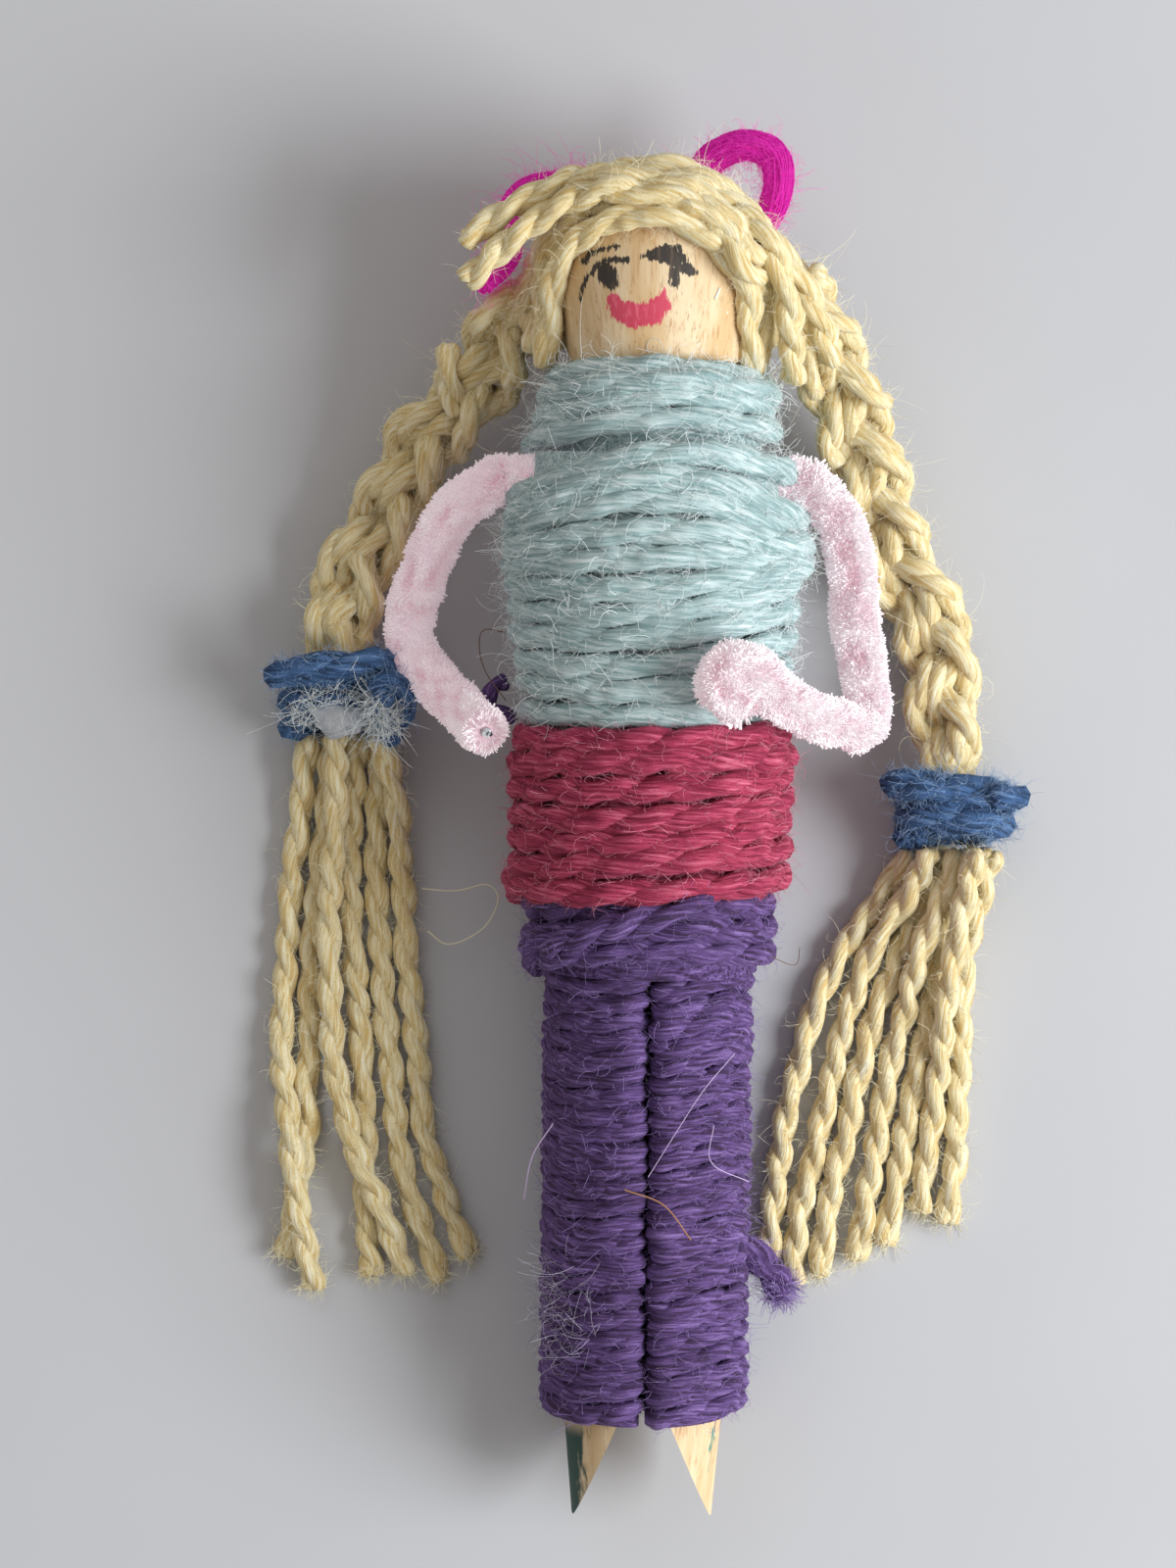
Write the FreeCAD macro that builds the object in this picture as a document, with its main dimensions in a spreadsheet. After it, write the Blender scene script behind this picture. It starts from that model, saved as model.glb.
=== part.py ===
import FreeCAD, Part
import math
import os
import types
import Sketcher
from FreeCAD import Placement, Rotation, Vector

# A doll made from a wooden dolly clothes peg. It lies on its back on the plane z = 0.
# Millimetres. +Y points to the head, +Z up off the surface, and "left" is the -X side.
# Clothes are wound yarn, the arms are one chenille stem, and the hair is yarn in two braids.

SIZES = {
    # how the peg lies: its head is raised, and it leans a little to the right
    "tilt_angle": 4.4,
    "lean_angle": 0.7,
    "axis_x": 0.67,
    "axis_z": 11.58,
    "gap": 0.05,
    # peg, along its own axis
    "foot_tip": -56.2,
    "foot_top": -47.6,
    "waist_y": 2.0,
    "shoulder_y": 29.0,
    "neck_low": 33.0,
    "head_y": 44.3,
    "head_radius": 8.1,
    "chin_low": 37.7,
    "chin_radius": 7.1,
    "chin_top": 43.0,
    "neck_radius": 4.7,
    "shoulder_radius": 6.45,
    "leg_radius": 6.5,
    "foot_radius": 5.75,
    "slot_half": 2.1,
    "slot_top": 4.0,
    "slot_end": 2.3,
    "mouth_half": 5.6,
    # wound yarn
    "neck_top": 37.6,
    "neck_bottom": 31.5,
    "neck_outer": 9.0,
    "chest_bottom": 8.15,
    "chest_widest": 22.5,
    "chest_outer": 11.4,
    "chest_barrel": 0.0085,
    "belt_bottom": -5.6,
    "belt_outer": 11.0,
    "hip_bottom": -11.4,
    "hip_outer": 9.9,
    "leg_bottom": -47.5,
    "leg_thickness": 2.05,
    "leg_turn": 1.5,
    "leg_groove": 0.35,
    "leg_band": 1.1,
    "turn_bulge": 1.15,
    # chenille stem
    "pile_radius": 2.15,
    "pressed_radius": 1.6,
    "stem_ring": 8.3,
    "stem_y": 28.4,
    "exit_share": 0.9,
    "exit_reach": 10.9,
    "shoulder_reach": 12.1,
    "wire_radius": 0.4,
    "wire_room": 0.75,
    "joint_radius": 0.55,
    "joint_room": 0.9,
    "joint_taper": 3.0,
    "hand_radius": 2.7,
    # hair
    "yarn_radius": 1.0,
    "hair_ring": 9.2,
    "hair_step": 2.1,
    "hair_wrap": 205.0,
    "bundle_radius": 0.85,
    "plait_width": 2.15,
    "plait_depth": 1.35,
    "plait_pitch": 18.0,
    "gather": 2.2,
    "tie_radius": 3.5,
    "tie_yarn": 1.15,
    "tie_step": 1.9,
    "left_tie_reach": 6.1,
    "right_tie_reach": 5.2,
    "bow_radius": 1.35,
    "loop_radius": 0.7,
}
NECK_TURNS = 4
CHEST_TURNS = 11
BELT_TURNS = 7
HIP_TURNS = 3
HAIR_STRANDS = 7
STEPS_PER_PITCH = 12
PACKING = 1.26


class Size:
    """A number from the sheet, or one worked out from it, with the formula that says so."""

    def __init__(self, number, formula):
        self.number = number
        self.formula = formula

    def joined(self, sign, other, number):
        right = other.formula if isinstance(other, Size) else repr(other)
        return Size(number, f"({self.formula} {sign} {right})")

    def __add__(self, other):
        return self.joined("+", other, self.number + number_of(other))

    def __sub__(self, other):
        return self.joined("-", other, self.number - number_of(other))

    def __mul__(self, other):
        return self.joined("*", other, self.number * number_of(other))

    def __truediv__(self, other):
        return self.joined("/", other, self.number / number_of(other))

    def __neg__(self):
        return self * -1

    def root(self):
        return Size(math.sqrt(self.number), f"sqrt({self.formula})")


def number_of(value):
    return value.number if isinstance(value, Size) else value


doc = FreeCAD.newDocument("PegDoll")
sheet = doc.addObject("Spreadsheet::Sheet", "Dims")
for row, (name, number) in enumerate(SIZES.items(), start=1):
    sheet.set(f"A{row}", name)
    sheet.set(f"B{row}", str(number))
    sheet.setAlias(f"B{row}", name)
doc.recompute()
size = types.SimpleNamespace(**{name: Size(n, f"Dims.{name}") for name, n in SIZES.items()})

# Everything wound on the peg shares its frame: local Y is the peg's axis.
PEG_FRAME = Placement(
    Vector(size.axis_x.number, 0, size.axis_z.number),
    Rotation(Vector(0, 0, 1), -size.lean_angle.number)
    * Rotation(Vector(1, 0, 0), size.tilt_angle.number),
)
pieces = []


def kept(thing, label):
    """Names a finished piece and puts it on the list of what is written out."""
    thing.Label = label
    pieces.append(thing)
    return thing


def bound(thing, **values):
    """Ties an object's own properties to the sheet."""
    for name, value in values.items():
        if isinstance(value, Size):
            setattr(thing, name, value.number)
            thing.setExpression(name, value.formula)
        else:
            setattr(thing, name, value)
    return thing


# ---------------------------------------------------------------- sketches and bodies


def new_sketch(body, role, name, offset=None):
    """A sketch on one of its body's own origin planes, moved along the plane's normal by offset."""
    plane = next(f for f in body.Origin.OriginFeatures if f.Role == role)
    sketch = body.newObject("Sketcher::SketchObject", name)
    sketch.AttachmentSupport = (plane, "")
    sketch.MapMode = "FlatFace"
    if offset is not None:
        sketch.AttachmentOffset = Placement(Vector(0, 0, offset.number), Rotation())
        sketch.setExpression("AttachmentOffset.Base.z", offset.formula)
    return sketch


def arc_between(start, end, radius):
    """The arc from start to end that turns anticlockwise, bulging to the right of the way."""
    middle = (start + end) * 0.5
    along = end - start
    reach = math.sqrt(max(radius**2 - (along.Length / 2) ** 2, 0))
    centre = middle + Vector(-along.y, along.x, 0).normalize() * reach
    first = math.atan2(start.y - centre.y, start.x - centre.x)
    last = math.atan2(end.y - centre.y, end.x - centre.x)
    circle = Part.Circle(centre, Vector(0, 0, 1), radius)
    return Part.ArcOfCircle(circle, first, last if last > first else last + 2 * math.pi)


def pin_corner(sketch, side, axis, value):
    """Holds one coordinate of the corner where a side starts: 0 is on the axis itself."""
    if number_of(value) == 0:
        sketch.addConstraint(Sketcher.Constraint("PointOnObject", side, 1, -2 if axis == "X" else -1))
        return
    index = sketch.addConstraint(
        Sketcher.Constraint(f"Distance{axis}", -1, 1, side, 1, value.number)
    )
    sketch.setExpression(f"Constraints[{index}]", value.formula)


def outline(sketch, corners, arcs):
    """A closed outline, run anticlockwise. arcs gives the radius of each round side by its number."""
    spots = [Vector(number_of(x), number_of(y), 0) for x, y in corners]
    sides = []
    for number, (start, end) in enumerate(zip(spots, spots[1:] + spots[:1])):
        if number in arcs:
            side = arc_between(start, end, arcs[number].number)
        else:
            side = Part.LineSegment(start, end)
        sides.append(sketch.addGeometry(side))
    for side, following in zip(sides, sides[1:] + sides[:1]):
        sketch.addConstraint(Sketcher.Constraint("Coincident", side, 2, following, 1))
    for side, (x, y) in zip(sides, corners):
        pin_corner(sketch, side, "X", x)
        pin_corner(sketch, side, "Y", y)
    for number, radius in arcs.items():
        index = sketch.addConstraint(Sketcher.Constraint("Radius", sides[number], radius.number))
        sketch.setExpression(f"Constraints[{index}]", radius.formula)


def turned_body(name, corners, arcs):
    """A body turned about the peg's axis."""
    body = doc.addObject("PartDesign::Body", name)
    sketch = new_sketch(body, "XY_Plane", name + "_profile")
    outline(sketch, corners, arcs)
    turn = body.newObject("PartDesign::Revolution", name + "_turned")
    turn.Profile = sketch
    turn.ReferenceAxis = (sketch, ["V_Axis"])
    body.Placement = PEG_FRAME
    return body


def on_ground(thing, name):
    """What is left of a soft winding above the surface that it lies on and is pressed flat by."""
    ground = doc.addObject("Part::Box", name + "_ground")
    bound(ground, Length=60, Width=140, Height=20)
    ground.Placement = Placement(Vector(-30, -70, -20), Rotation())
    return bound(doc.addObject("Part::Cut", name + "_cut"), Base=thing, Tool=ground)


# ---------------------------------------------------------------- the peg


def make_peg():
    """One turned piece: its knob is a ball on a blunt cone, and a slot makes its two legs."""
    below_middle = size.head_y - size.chin_top
    cheek = (size.head_radius * size.head_radius - below_middle * below_middle).root()
    profile = [
        (0, size.foot_tip),
        (size.foot_radius, size.foot_tip),
        (size.leg_radius, size.foot_top),
        (size.leg_radius, size.waist_y),
        (size.shoulder_radius, size.shoulder_y),
        (size.neck_radius, size.neck_low),
        (size.neck_radius, size.chin_low),
        (size.chin_radius, size.chin_low),
        (cheek, size.chin_top),
        (0, size.head_y + size.head_radius),
    ]
    body = turned_body("Peg", profile, {8: size.head_radius})
    doc.recompute()
    whole = body.Shape.Volume

    sketch = new_sketch(body, "XY_Plane", "Slot_profile")
    below = size.foot_tip - 1
    outline(
        sketch,
        [
            (size.slot_half, size.slot_top),
            (-size.slot_half, size.slot_top),
            (-size.slot_half, size.foot_top),
            (-size.mouth_half, size.foot_tip),
            (-size.mouth_half, below),
            (size.mouth_half, below),
            (size.mouth_half, size.foot_tip),
            (size.slot_half, size.foot_top),
        ],
        {0: size.slot_end},
    )
    slot = body.newObject("PartDesign::Pocket", "Slot")
    slot.Profile = sketch
    slot.Type = "ThroughAll"
    slot.SideType = "Symmetric"
    doc.recompute()
    print(f"slot removes {whole - body.Shape.Volume:.0f} of {whole:.0f} mm3")
    kept(body, "wooden_peg")


# ---------------------------------------------------------------- wound yarn


def turns_between(low, high, turns, outer_at):
    """Corners up the outside of a winding, from low to high, one round side to each turn."""
    heights = [low + (high - low) * (number / turns) for number in range(turns + 1)]
    return [(outer_at(y), y) for y in heights]


def chest_outer(y):
    """The chest is a barrel, widest a little above its middle."""
    off = y - size.chest_widest
    return size.chest_outer - size.chest_barrel * off * off


def make_winding(name, low, high, turns, outer):
    """A sleeve of wound yarn on the peg's shaft, pressed flat where it touches the surface."""
    inner = size.leg_radius + size.gap
    side = turns_between(low, high, turns, lambda y: outer)
    profile = [(inner, low), *side, (inner, high)]
    arcs = {number: size.turn_bulge for number in range(1, turns + 1)}
    return on_ground(turned_body(name, profile, arcs), name)


def make_shirt(tunnel):
    """Neck and chest are one length of yarn, with a way through it for the chenille stem."""
    inner = size.leg_radius + size.gap
    inner_neck = size.neck_radius + size.gap
    chest = turns_between(size.chest_bottom, size.neck_bottom, CHEST_TURNS, chest_outer)
    neck = turns_between(size.neck_bottom, size.neck_top, NECK_TURNS, lambda y: size.neck_outer)
    profile = [
        (inner, size.chest_bottom),
        *chest,
        *neck,
        (inner_neck, size.neck_top),
        (inner_neck, size.neck_low + size.gap),
        (inner, size.shoulder_y + size.gap),
    ]
    first_neck = 1 + len(chest)
    round_sides = [*range(1, 1 + CHEST_TURNS), *range(first_neck, first_neck + NECK_TURNS)]
    body = turned_body("Shirt", profile, {number: size.turn_bulge for number in round_sides})
    kept(bound(doc.addObject("Part::Cut", "Shirt_cut"), Base=body, Tool=tunnel), "shirt_yarn")


def leg_ring(thickness, clearance):
    """The D-shaped outline of one leg of the peg, grown by a thickness, as corners and arcs."""
    flat = size.slot_half
    corner = (size.leg_radius * size.leg_radius - flat * flat).root()
    grown = size.leg_radius + thickness
    out_x = flat * grown / size.leg_radius
    out_z = corner * grown / size.leg_radius
    near = flat - thickness + clearance
    corners = [(near, corner), (near, -corner), (out_x, -out_z), (out_x, out_z)]
    return corners, {1: thickness, 2: grown, 3: thickness}


def leg_hole():
    """The outline of the leg itself with a little room round it."""
    flat = size.slot_half - size.gap
    reach = size.leg_radius + size.gap
    corner = (reach * reach - flat * flat).root()
    return [(flat, corner), (flat, -corner)], {1: reach}


def make_right_leg_winding():
    """Fine turns round one leg: a sleeve, and one raised band for each turn."""
    body = doc.addObject("PartDesign::Body", "Leg")
    start = -size.hip_bottom + size.gap
    length = size.hip_bottom - size.leg_bottom
    turns = int(length.number / size.leg_turn.number)

    for name, depth, pad_length in (
        ("Leg_sleeve", size.leg_thickness - size.leg_groove, length),
        ("Leg_band", size.leg_thickness, size.leg_band),
    ):
        sketch = new_sketch(body, "XZ_Plane", name + "_ring", start)
        outline(sketch, *leg_ring(depth, size.gap))
        pad = body.newObject("PartDesign::Pad", name)
        bound(pad, Profile=sketch, Length=pad_length)

    bands = body.newObject("PartDesign::LinearPattern", "Leg_bands")
    bands.Originals = [pad]
    bands.Direction = (sketch, ["N_Axis"])
    bound(bands, Length=size.leg_turn * (turns - 1), Occurrences=turns)
    body.Tip = bands

    hole = new_sketch(body, "XZ_Plane", "Leg_hole_ring", start)
    outline(hole, *leg_hole())
    pocket = body.newObject("PartDesign::Pocket", "Leg_hole")
    pocket.Profile = hole
    pocket.Type = "ThroughAll"
    pocket.SideType = "Symmetric"
    body.Tip = pocket
    body.Placement = PEG_FRAME
    return on_ground(body, "Leg")


def make_leg_windings():
    right = kept(make_right_leg_winding(), "right_leg_yarn")
    left = doc.addObject("Part::Mirroring", "Leg_mirrored")
    left.Source = right
    left.Base = PEG_FRAME.Base
    left.Normal = PEG_FRAME.Rotation.multVec(Vector(1, 0, 0))
    kept(left, "left_leg_yarn")


# ---------------------------------------------------------------- tubes along a route


def route_path(points):
    """Straight runs joined by tangent arcs as large as the runs allow, and the tightest radius."""
    corners = [Vector(*point) for point in points]
    edges = []
    tightest = math.inf
    reached = corners[0]
    for before, corner, after in zip(corners, corners[1:], corners[2:]):
        back = before - corner
        ahead = after - corner
        trimmed = 0.45 * min(back.Length, ahead.Length)
        half_turn = (math.pi - back.getAngle(ahead)) / 2
        radius = trimmed / math.tan(half_turn)
        back.normalize()
        ahead.normalize()
        inward = (back + ahead).normalize()
        arc_start = corner + back * trimmed
        arc_middle = corner + inward * (radius / math.cos(half_turn) - radius)
        arc_end = corner + ahead * trimmed
        edges.append(Part.LineSegment(reached, arc_start).toShape())
        edges.append(Part.Arc(arc_start, arc_middle, arc_end).toShape())
        reached = arc_end
        tightest = min(tightest, radius)
    edges.append(Part.LineSegment(reached, corners[-1]).toShape())
    return Part.Wire(edges), tightest


def tube_solid(points, radius):
    """A round tube along a route."""
    path, tightest = route_path(points)
    start = Vector(*points[0])
    ring = Part.Wire([Part.makeCircle(radius, start, Vector(*points[1]) - start)])
    solid = path.makePipeShell([ring], True, False)
    return solid, path.Length, tightest


def shape_piece(label, shape, placement=None):
    """A free-form piece: the shape first, then where it goes."""
    feature = doc.addObject("Part::Feature", label)
    feature.Shape = shape
    if placement is not None:
        feature.Placement = placement
    return kept(feature, label)


def tube_piece(label, points, radius):
    solid, length, tightest = tube_solid(points, radius)
    share = solid.Volume / (math.pi * radius**2 * length)
    print(f"{label}: length {length:.1f}, tightest radius {tightest:.1f}, volume share {share:.4f}")
    return shape_piece(label, solid)


# ---------------------------------------------------------------- chenille stem


def make_chest_stem():
    """The middle of the stem: once round the peg, with a short way out to each shoulder.

    Each way out is a little narrower than the ring, so that no two surfaces only just touch.
    """
    stem_frame = PEG_FRAME * Placement(
        Vector(0, size.stem_y.number, 0), Rotation(Vector(1, 0, 0), 90)
    )

    def ring_with_exits(name, tube, reach):
        ring = doc.addObject("Part::Torus", name + "_ring")
        bound(ring, Radius1=size.stem_ring, Radius2=tube)
        ring.Placement = stem_frame
        parts = [ring]
        for side in (-1, 1):
            way_out = doc.addObject("Part::Cylinder", f"{name}_exit_{len(parts)}")
            bound(way_out, Radius=tube * size.exit_share, Height=reach - size.stem_ring)
            start = Vector(side * size.stem_ring.number, size.stem_y.number, 0)
            way_out.Placement = PEG_FRAME * Placement(start, Rotation(Vector(0, 1, 0), side * 90))
            parts.append(way_out)
        return parts

    def fused(name, parts):
        return bound(doc.addObject("Part::MultiFuse", name), Shapes=parts, Refine=True)

    pressed = size.pressed_radius
    tunnel = fused("Stem_tunnel", ring_with_exits("Tunnel", pressed + size.gap, size.shoulder_reach))
    pile = fused("Stem_pile", ring_with_exits("Pile", pressed, size.exit_reach))
    bore_radius = size.wire_radius + size.gap
    bore = fused("Stem_bore", ring_with_exits("Bore", bore_radius, size.shoulder_reach))
    hollow = bound(doc.addObject("Part::Cut", "Stem_hollow"), Base=pile, Tool=bore)
    kept(hollow, "chest_stem_pile")

    # The wire goes on to the middle of each shoulder's bend and ends there in a ball.
    wire = ring_with_exits("Wire", size.wire_radius, size.shoulder_reach)
    for shoulder in (LEFT_SHOULDER, RIGHT_SHOULDER):
        ball = doc.addObject("Part::Sphere", f"Wire_ball_{len(wire)}")
        bound(ball, Radius=size.wire_radius)
        ball.Placement = Placement(Vector(*shoulder), Rotation())
        wire.append(ball)
    kept(fused("Stem_wire", wire), "chest_stem_wire")
    return tunnel


def moved_towards(start, end, distance):
    way = Vector(*end) - Vector(*start)
    return tuple(Vector(*start) + way.normalize() * distance)


def tapered_end(pivot, following):
    """The stem's cone next to a bend, which leaves room for the piece across the bend."""
    room = size.joint_room.number
    taper = size.joint_taper.number
    direction = Vector(*following) - Vector(*pivot)
    base = Vector(*moved_towards(pivot, following, room))
    cone = Part.makeCone(
        size.joint_radius.number, size.pile_radius.number, taper, base, direction
    )
    return cone, moved_towards(pivot, following, room + taper)


def make_arm_piece(label, points, end_bent=False, hand=None, bare_wire=0.0):
    """One stretch of an arm, from a bend to the next bend or the end: a pile and the wire in it."""
    wire_radius = size.wire_radius.number
    route = list(points)
    wire_route = list(points)
    start_cone, route[0] = tapered_end(points[0], points[1])
    wire_route[0] = moved_towards(points[0], points[1], size.wire_room.number)
    on_pile = [start_cone]
    if end_bent:
        end_cone, route[-1] = tapered_end(points[-1], points[-2])
        on_pile.append(end_cone)
    if bare_wire:
        wire_route[-1] = moved_towards(points[-1], points[-2], -bare_wire)
    if hand:
        on_pile.append(Part.makeSphere(size.hand_radius.number, Vector(*hand)))
        wire_route[-1] = hand
    pile = tube_solid(route, size.pile_radius.number)[0].fuse(on_pile)
    bore = tube_solid(wire_route, wire_radius + size.gap.number)[0]
    wire = tube_solid(wire_route, wire_radius)[0]
    if end_bent:
        wire = wire.fuse(Part.makeSphere(wire_radius, Vector(*points[-1])))
    shape_piece(label + "_pile", pile.removeSplitter().cut(bore))
    shape_piece(label + "_wire", wire.removeSplitter())


def shoulder_at(side):
    """The middle of a shoulder's bend, on the line along which the stem leaves the chest."""
    reach = side * size.shoulder_reach.number
    return tuple(PEG_FRAME.multVec(Vector(reach, size.stem_y.number, 0)))


LEFT_SHOULDER = shoulder_at(-1)
LEFT_ELBOW = (-19.2, 15.9, 5.8)
RIGHT_SHOULDER = shoulder_at(1)
RIGHT_ELBOW = (18.1, 8.9, 11.8)


def make_arms():
    make_arm_piece(
        "left_upper_arm",
        [LEFT_SHOULDER, (-14.9, 26.2, 11.8), (-17.5, 21.8, 8.8), LEFT_ELBOW],
        end_bent=True,
    )
    make_arm_piece(
        "left_forearm",
        [LEFT_ELBOW, (-16.6, 11.8, 9.8), (-14.2, 9.4, 13.6), (-12.6, 7.9, 17.2)],
        bare_wire=0.35,
    )
    make_arm_piece(
        "right_upper_arm",
        [RIGHT_SHOULDER, (16.3, 24.0, 13.4), (17.3, 16.5, 12.2), RIGHT_ELBOW],
        end_bent=True,
    )
    make_arm_piece(
        "right_forearm",
        [RIGHT_ELBOW, (14.6, 8.8, 17.2), (11.2, 10.2, 22.2), (7.6, 12.0, 25.2)],
        hand=(7.4, 12.4, 25.8),
    )


# ---------------------------------------------------------------- hair


def make_hair_over_head():
    """Strands side by side over the head knob, from one side of the head to the other."""
    for number in range(HAIR_STRANDS):
        offset = size.hair_step * (number - (HAIR_STRANDS - 1) / 2)
        strand = doc.addObject("Part::Torus", f"Hair_{number + 1}")
        ring = (size.hair_ring * size.hair_ring - offset * offset).root()
        bound(strand, Radius1=ring, Radius2=size.yarn_radius, Angle3=size.hair_wrap)
        start_angle = 90 - size.hair_wrap.number / 2
        strand.Placement = PEG_FRAME * Placement(
            Vector(0, size.head_y.number, offset.number), Rotation(Vector(0, 0, 1), start_angle)
        )
        kept(strand, f"hair_strand_{number + 1}")


LOOSE_HAIR = {
    "left_fringe_upper": [(-6.1, 52.6, 20.9), (-10.4, 49.9, 20.4), (-14.4, 46.9, 19.0)],
    "left_fringe_lower": [(-6.6, 49.7, 21.6), (-10.4, 46.9, 20.4), (-14.2, 43.5, 18.4)],
    "right_side_inner": [(9.3, 47.3, 21.9), (11.1, 43.1, 20.6), (11.8, 39.0, 18.6), (12.0, 35.6, 17.2)],
    "right_side_outer": [(11.6, 45.0, 19.2), (13.9, 41.0, 17.4), (15.3, 37.2, 15.6)],
}

BOWS = {
    "left_bow": [
        (-6.0, 52.9, 8.8),
        (-9.2, 51.8, 10.2),
        (-10.9, 49.2, 12.0),
        (-11.1, 46.6, 13.4),
        (-13.2, 43.8, 14.8),
    ],
    "right_bow": [
        (4.8, 52.8, 6.6),
        (7.0, 54.2, 8.8),
        (9.9, 55.0, 10.6),
        (11.6, 51.9, 10.6),
        (11.0, 48.6, 9.2),
    ],
}

# From the side of the head down to the surface and on to the middle of the tie.
BRAIDS = {
    "left": [
        (-10.4, 41.6, 11.4),
        (-13.2, 36.4, 8.2),
        (-18.0, 31.4, 5.2),
        (-20.8, 26.0, 3.6),
        (-24.0, 20.2, 3.4),
        (-24.9, 15.0, 4.2),
        (-24.9, 10.7, 4.7),
    ],
    "right": [
        (12.6, 43.4, 12.4),
        (16.0, 37.4, 9.0),
        (18.9, 29.6, 5.2),
        (21.4, 22.2, 3.4),
        (24.6, 16.2, 3.2),
        (25.3, 10.2, 3.6),
        (25.8, 5.6, 4.3),
        (25.9, 1.5, 4.7),
    ],
}


def braid_line(side):
    """A smooth line through a braid's points, for placing the bundles round it."""
    line = Part.BSplineCurve()
    line.interpolate([Vector(*point) for point in BRAIDS[side]])
    return line


def frame_on(line, distance):
    """The place at a distance along a line, with its forward, sideways and upward directions."""
    spot = line.parameterAtDistance(distance, line.FirstParameter)
    forward = line.tangent(spot)[0]
    sideways = forward.cross(Vector(0, 0, 1)).normalize()
    return line.value(spot), forward, sideways, sideways.cross(forward)


def bundle_route(line, number, tie_room):
    """One of three bundles: it weaves from side to side, over and under, then meets the others."""
    pitch = size.plait_pitch.number
    width = size.plait_width.number
    depth = size.plait_depth.number
    packed = size.bundle_radius.number * PACKING

    # The plait stops where its bundles stand in a triangle, a quarter and some sixths of a pitch on.
    longest = line.length() - tie_room - size.gather.number
    plaited = pitch * (1 / 4 + math.floor(6 * (longest / pitch - 1 / 4)) / 6)
    steps = round(plaited / pitch * STEPS_PER_PITCH)
    route = []
    for step in range(steps + 1):
        distance = plaited * step / steps
        turn = 2 * math.pi * (distance / pitch + number / 3)
        centre, _, sideways, upward = frame_on(line, distance)
        across = sideways * (width * math.sin(turn))
        route.append(tuple(centre + across + upward * (depth * math.sin(2 * turn))))

    # Through the tie the three lie packed against each other in the same triangle.
    centre, forward, sideways, upward = frame_on(line, line.length())
    packed_at = centre + (sideways * math.sin(turn) + upward * math.sin(2 * turn)) * packed
    for distance in (-tie_room, tie_room):
        route.append(tuple(packed_at + forward * distance))
    return route


def make_tie(side, line):
    """Two turns of yarn round the end of the braid, and the two ends of the knot beside them."""
    centre, forward = frame_on(line, line.length())[:2]
    level = forward.cross(Vector(0, 0, 1)).normalize()
    frame = Placement(centre, Rotation(level, Vector(), Vector(-forward.x, -forward.y, 0), "XZY"))
    parts = []
    for end in (-0.5, 0.5):
        turn = doc.addObject("Part::Torus", f"{side}_tie_turn_{len(parts)}")
        bound(turn, Radius1=size.tie_radius, Radius2=size.tie_yarn)
        turn.Placement = frame * Placement(Vector(0, 0, end * size.tie_step.number), Rotation())
        parts.append(turn)
    reach = getattr(size, f"{side}_tie_reach")
    for tail_side in (-1, 1):
        tail = doc.addObject("Part::Cylinder", f"{side}_tie_tail_{len(parts)}")
        bound(tail, Radius=size.tie_yarn, Height=reach - size.tie_radius)
        start = Vector(tail_side * size.tie_radius.number, 0, 0)
        tail.Placement = frame * Placement(start, Rotation(Vector(0, 1, 0), tail_side * 90))
        parts.append(tail)
    tie = bound(doc.addObject("Part::MultiFuse", f"{side}_tie_fused"), Shapes=parts, Refine=True)
    return kept(tie, f"{side}_tie")


def make_braids():
    for side in BRAIDS:
        line = braid_line(side)
        tie_room = size.tie_step.number / 2 + size.tie_yarn.number
        for number in range(3):
            route = bundle_route(line, number, tie_room)
            tube_piece(f"{side}_braid_bundle_{number + 1}", route, size.bundle_radius.number)
        make_tie(side, line)


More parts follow.
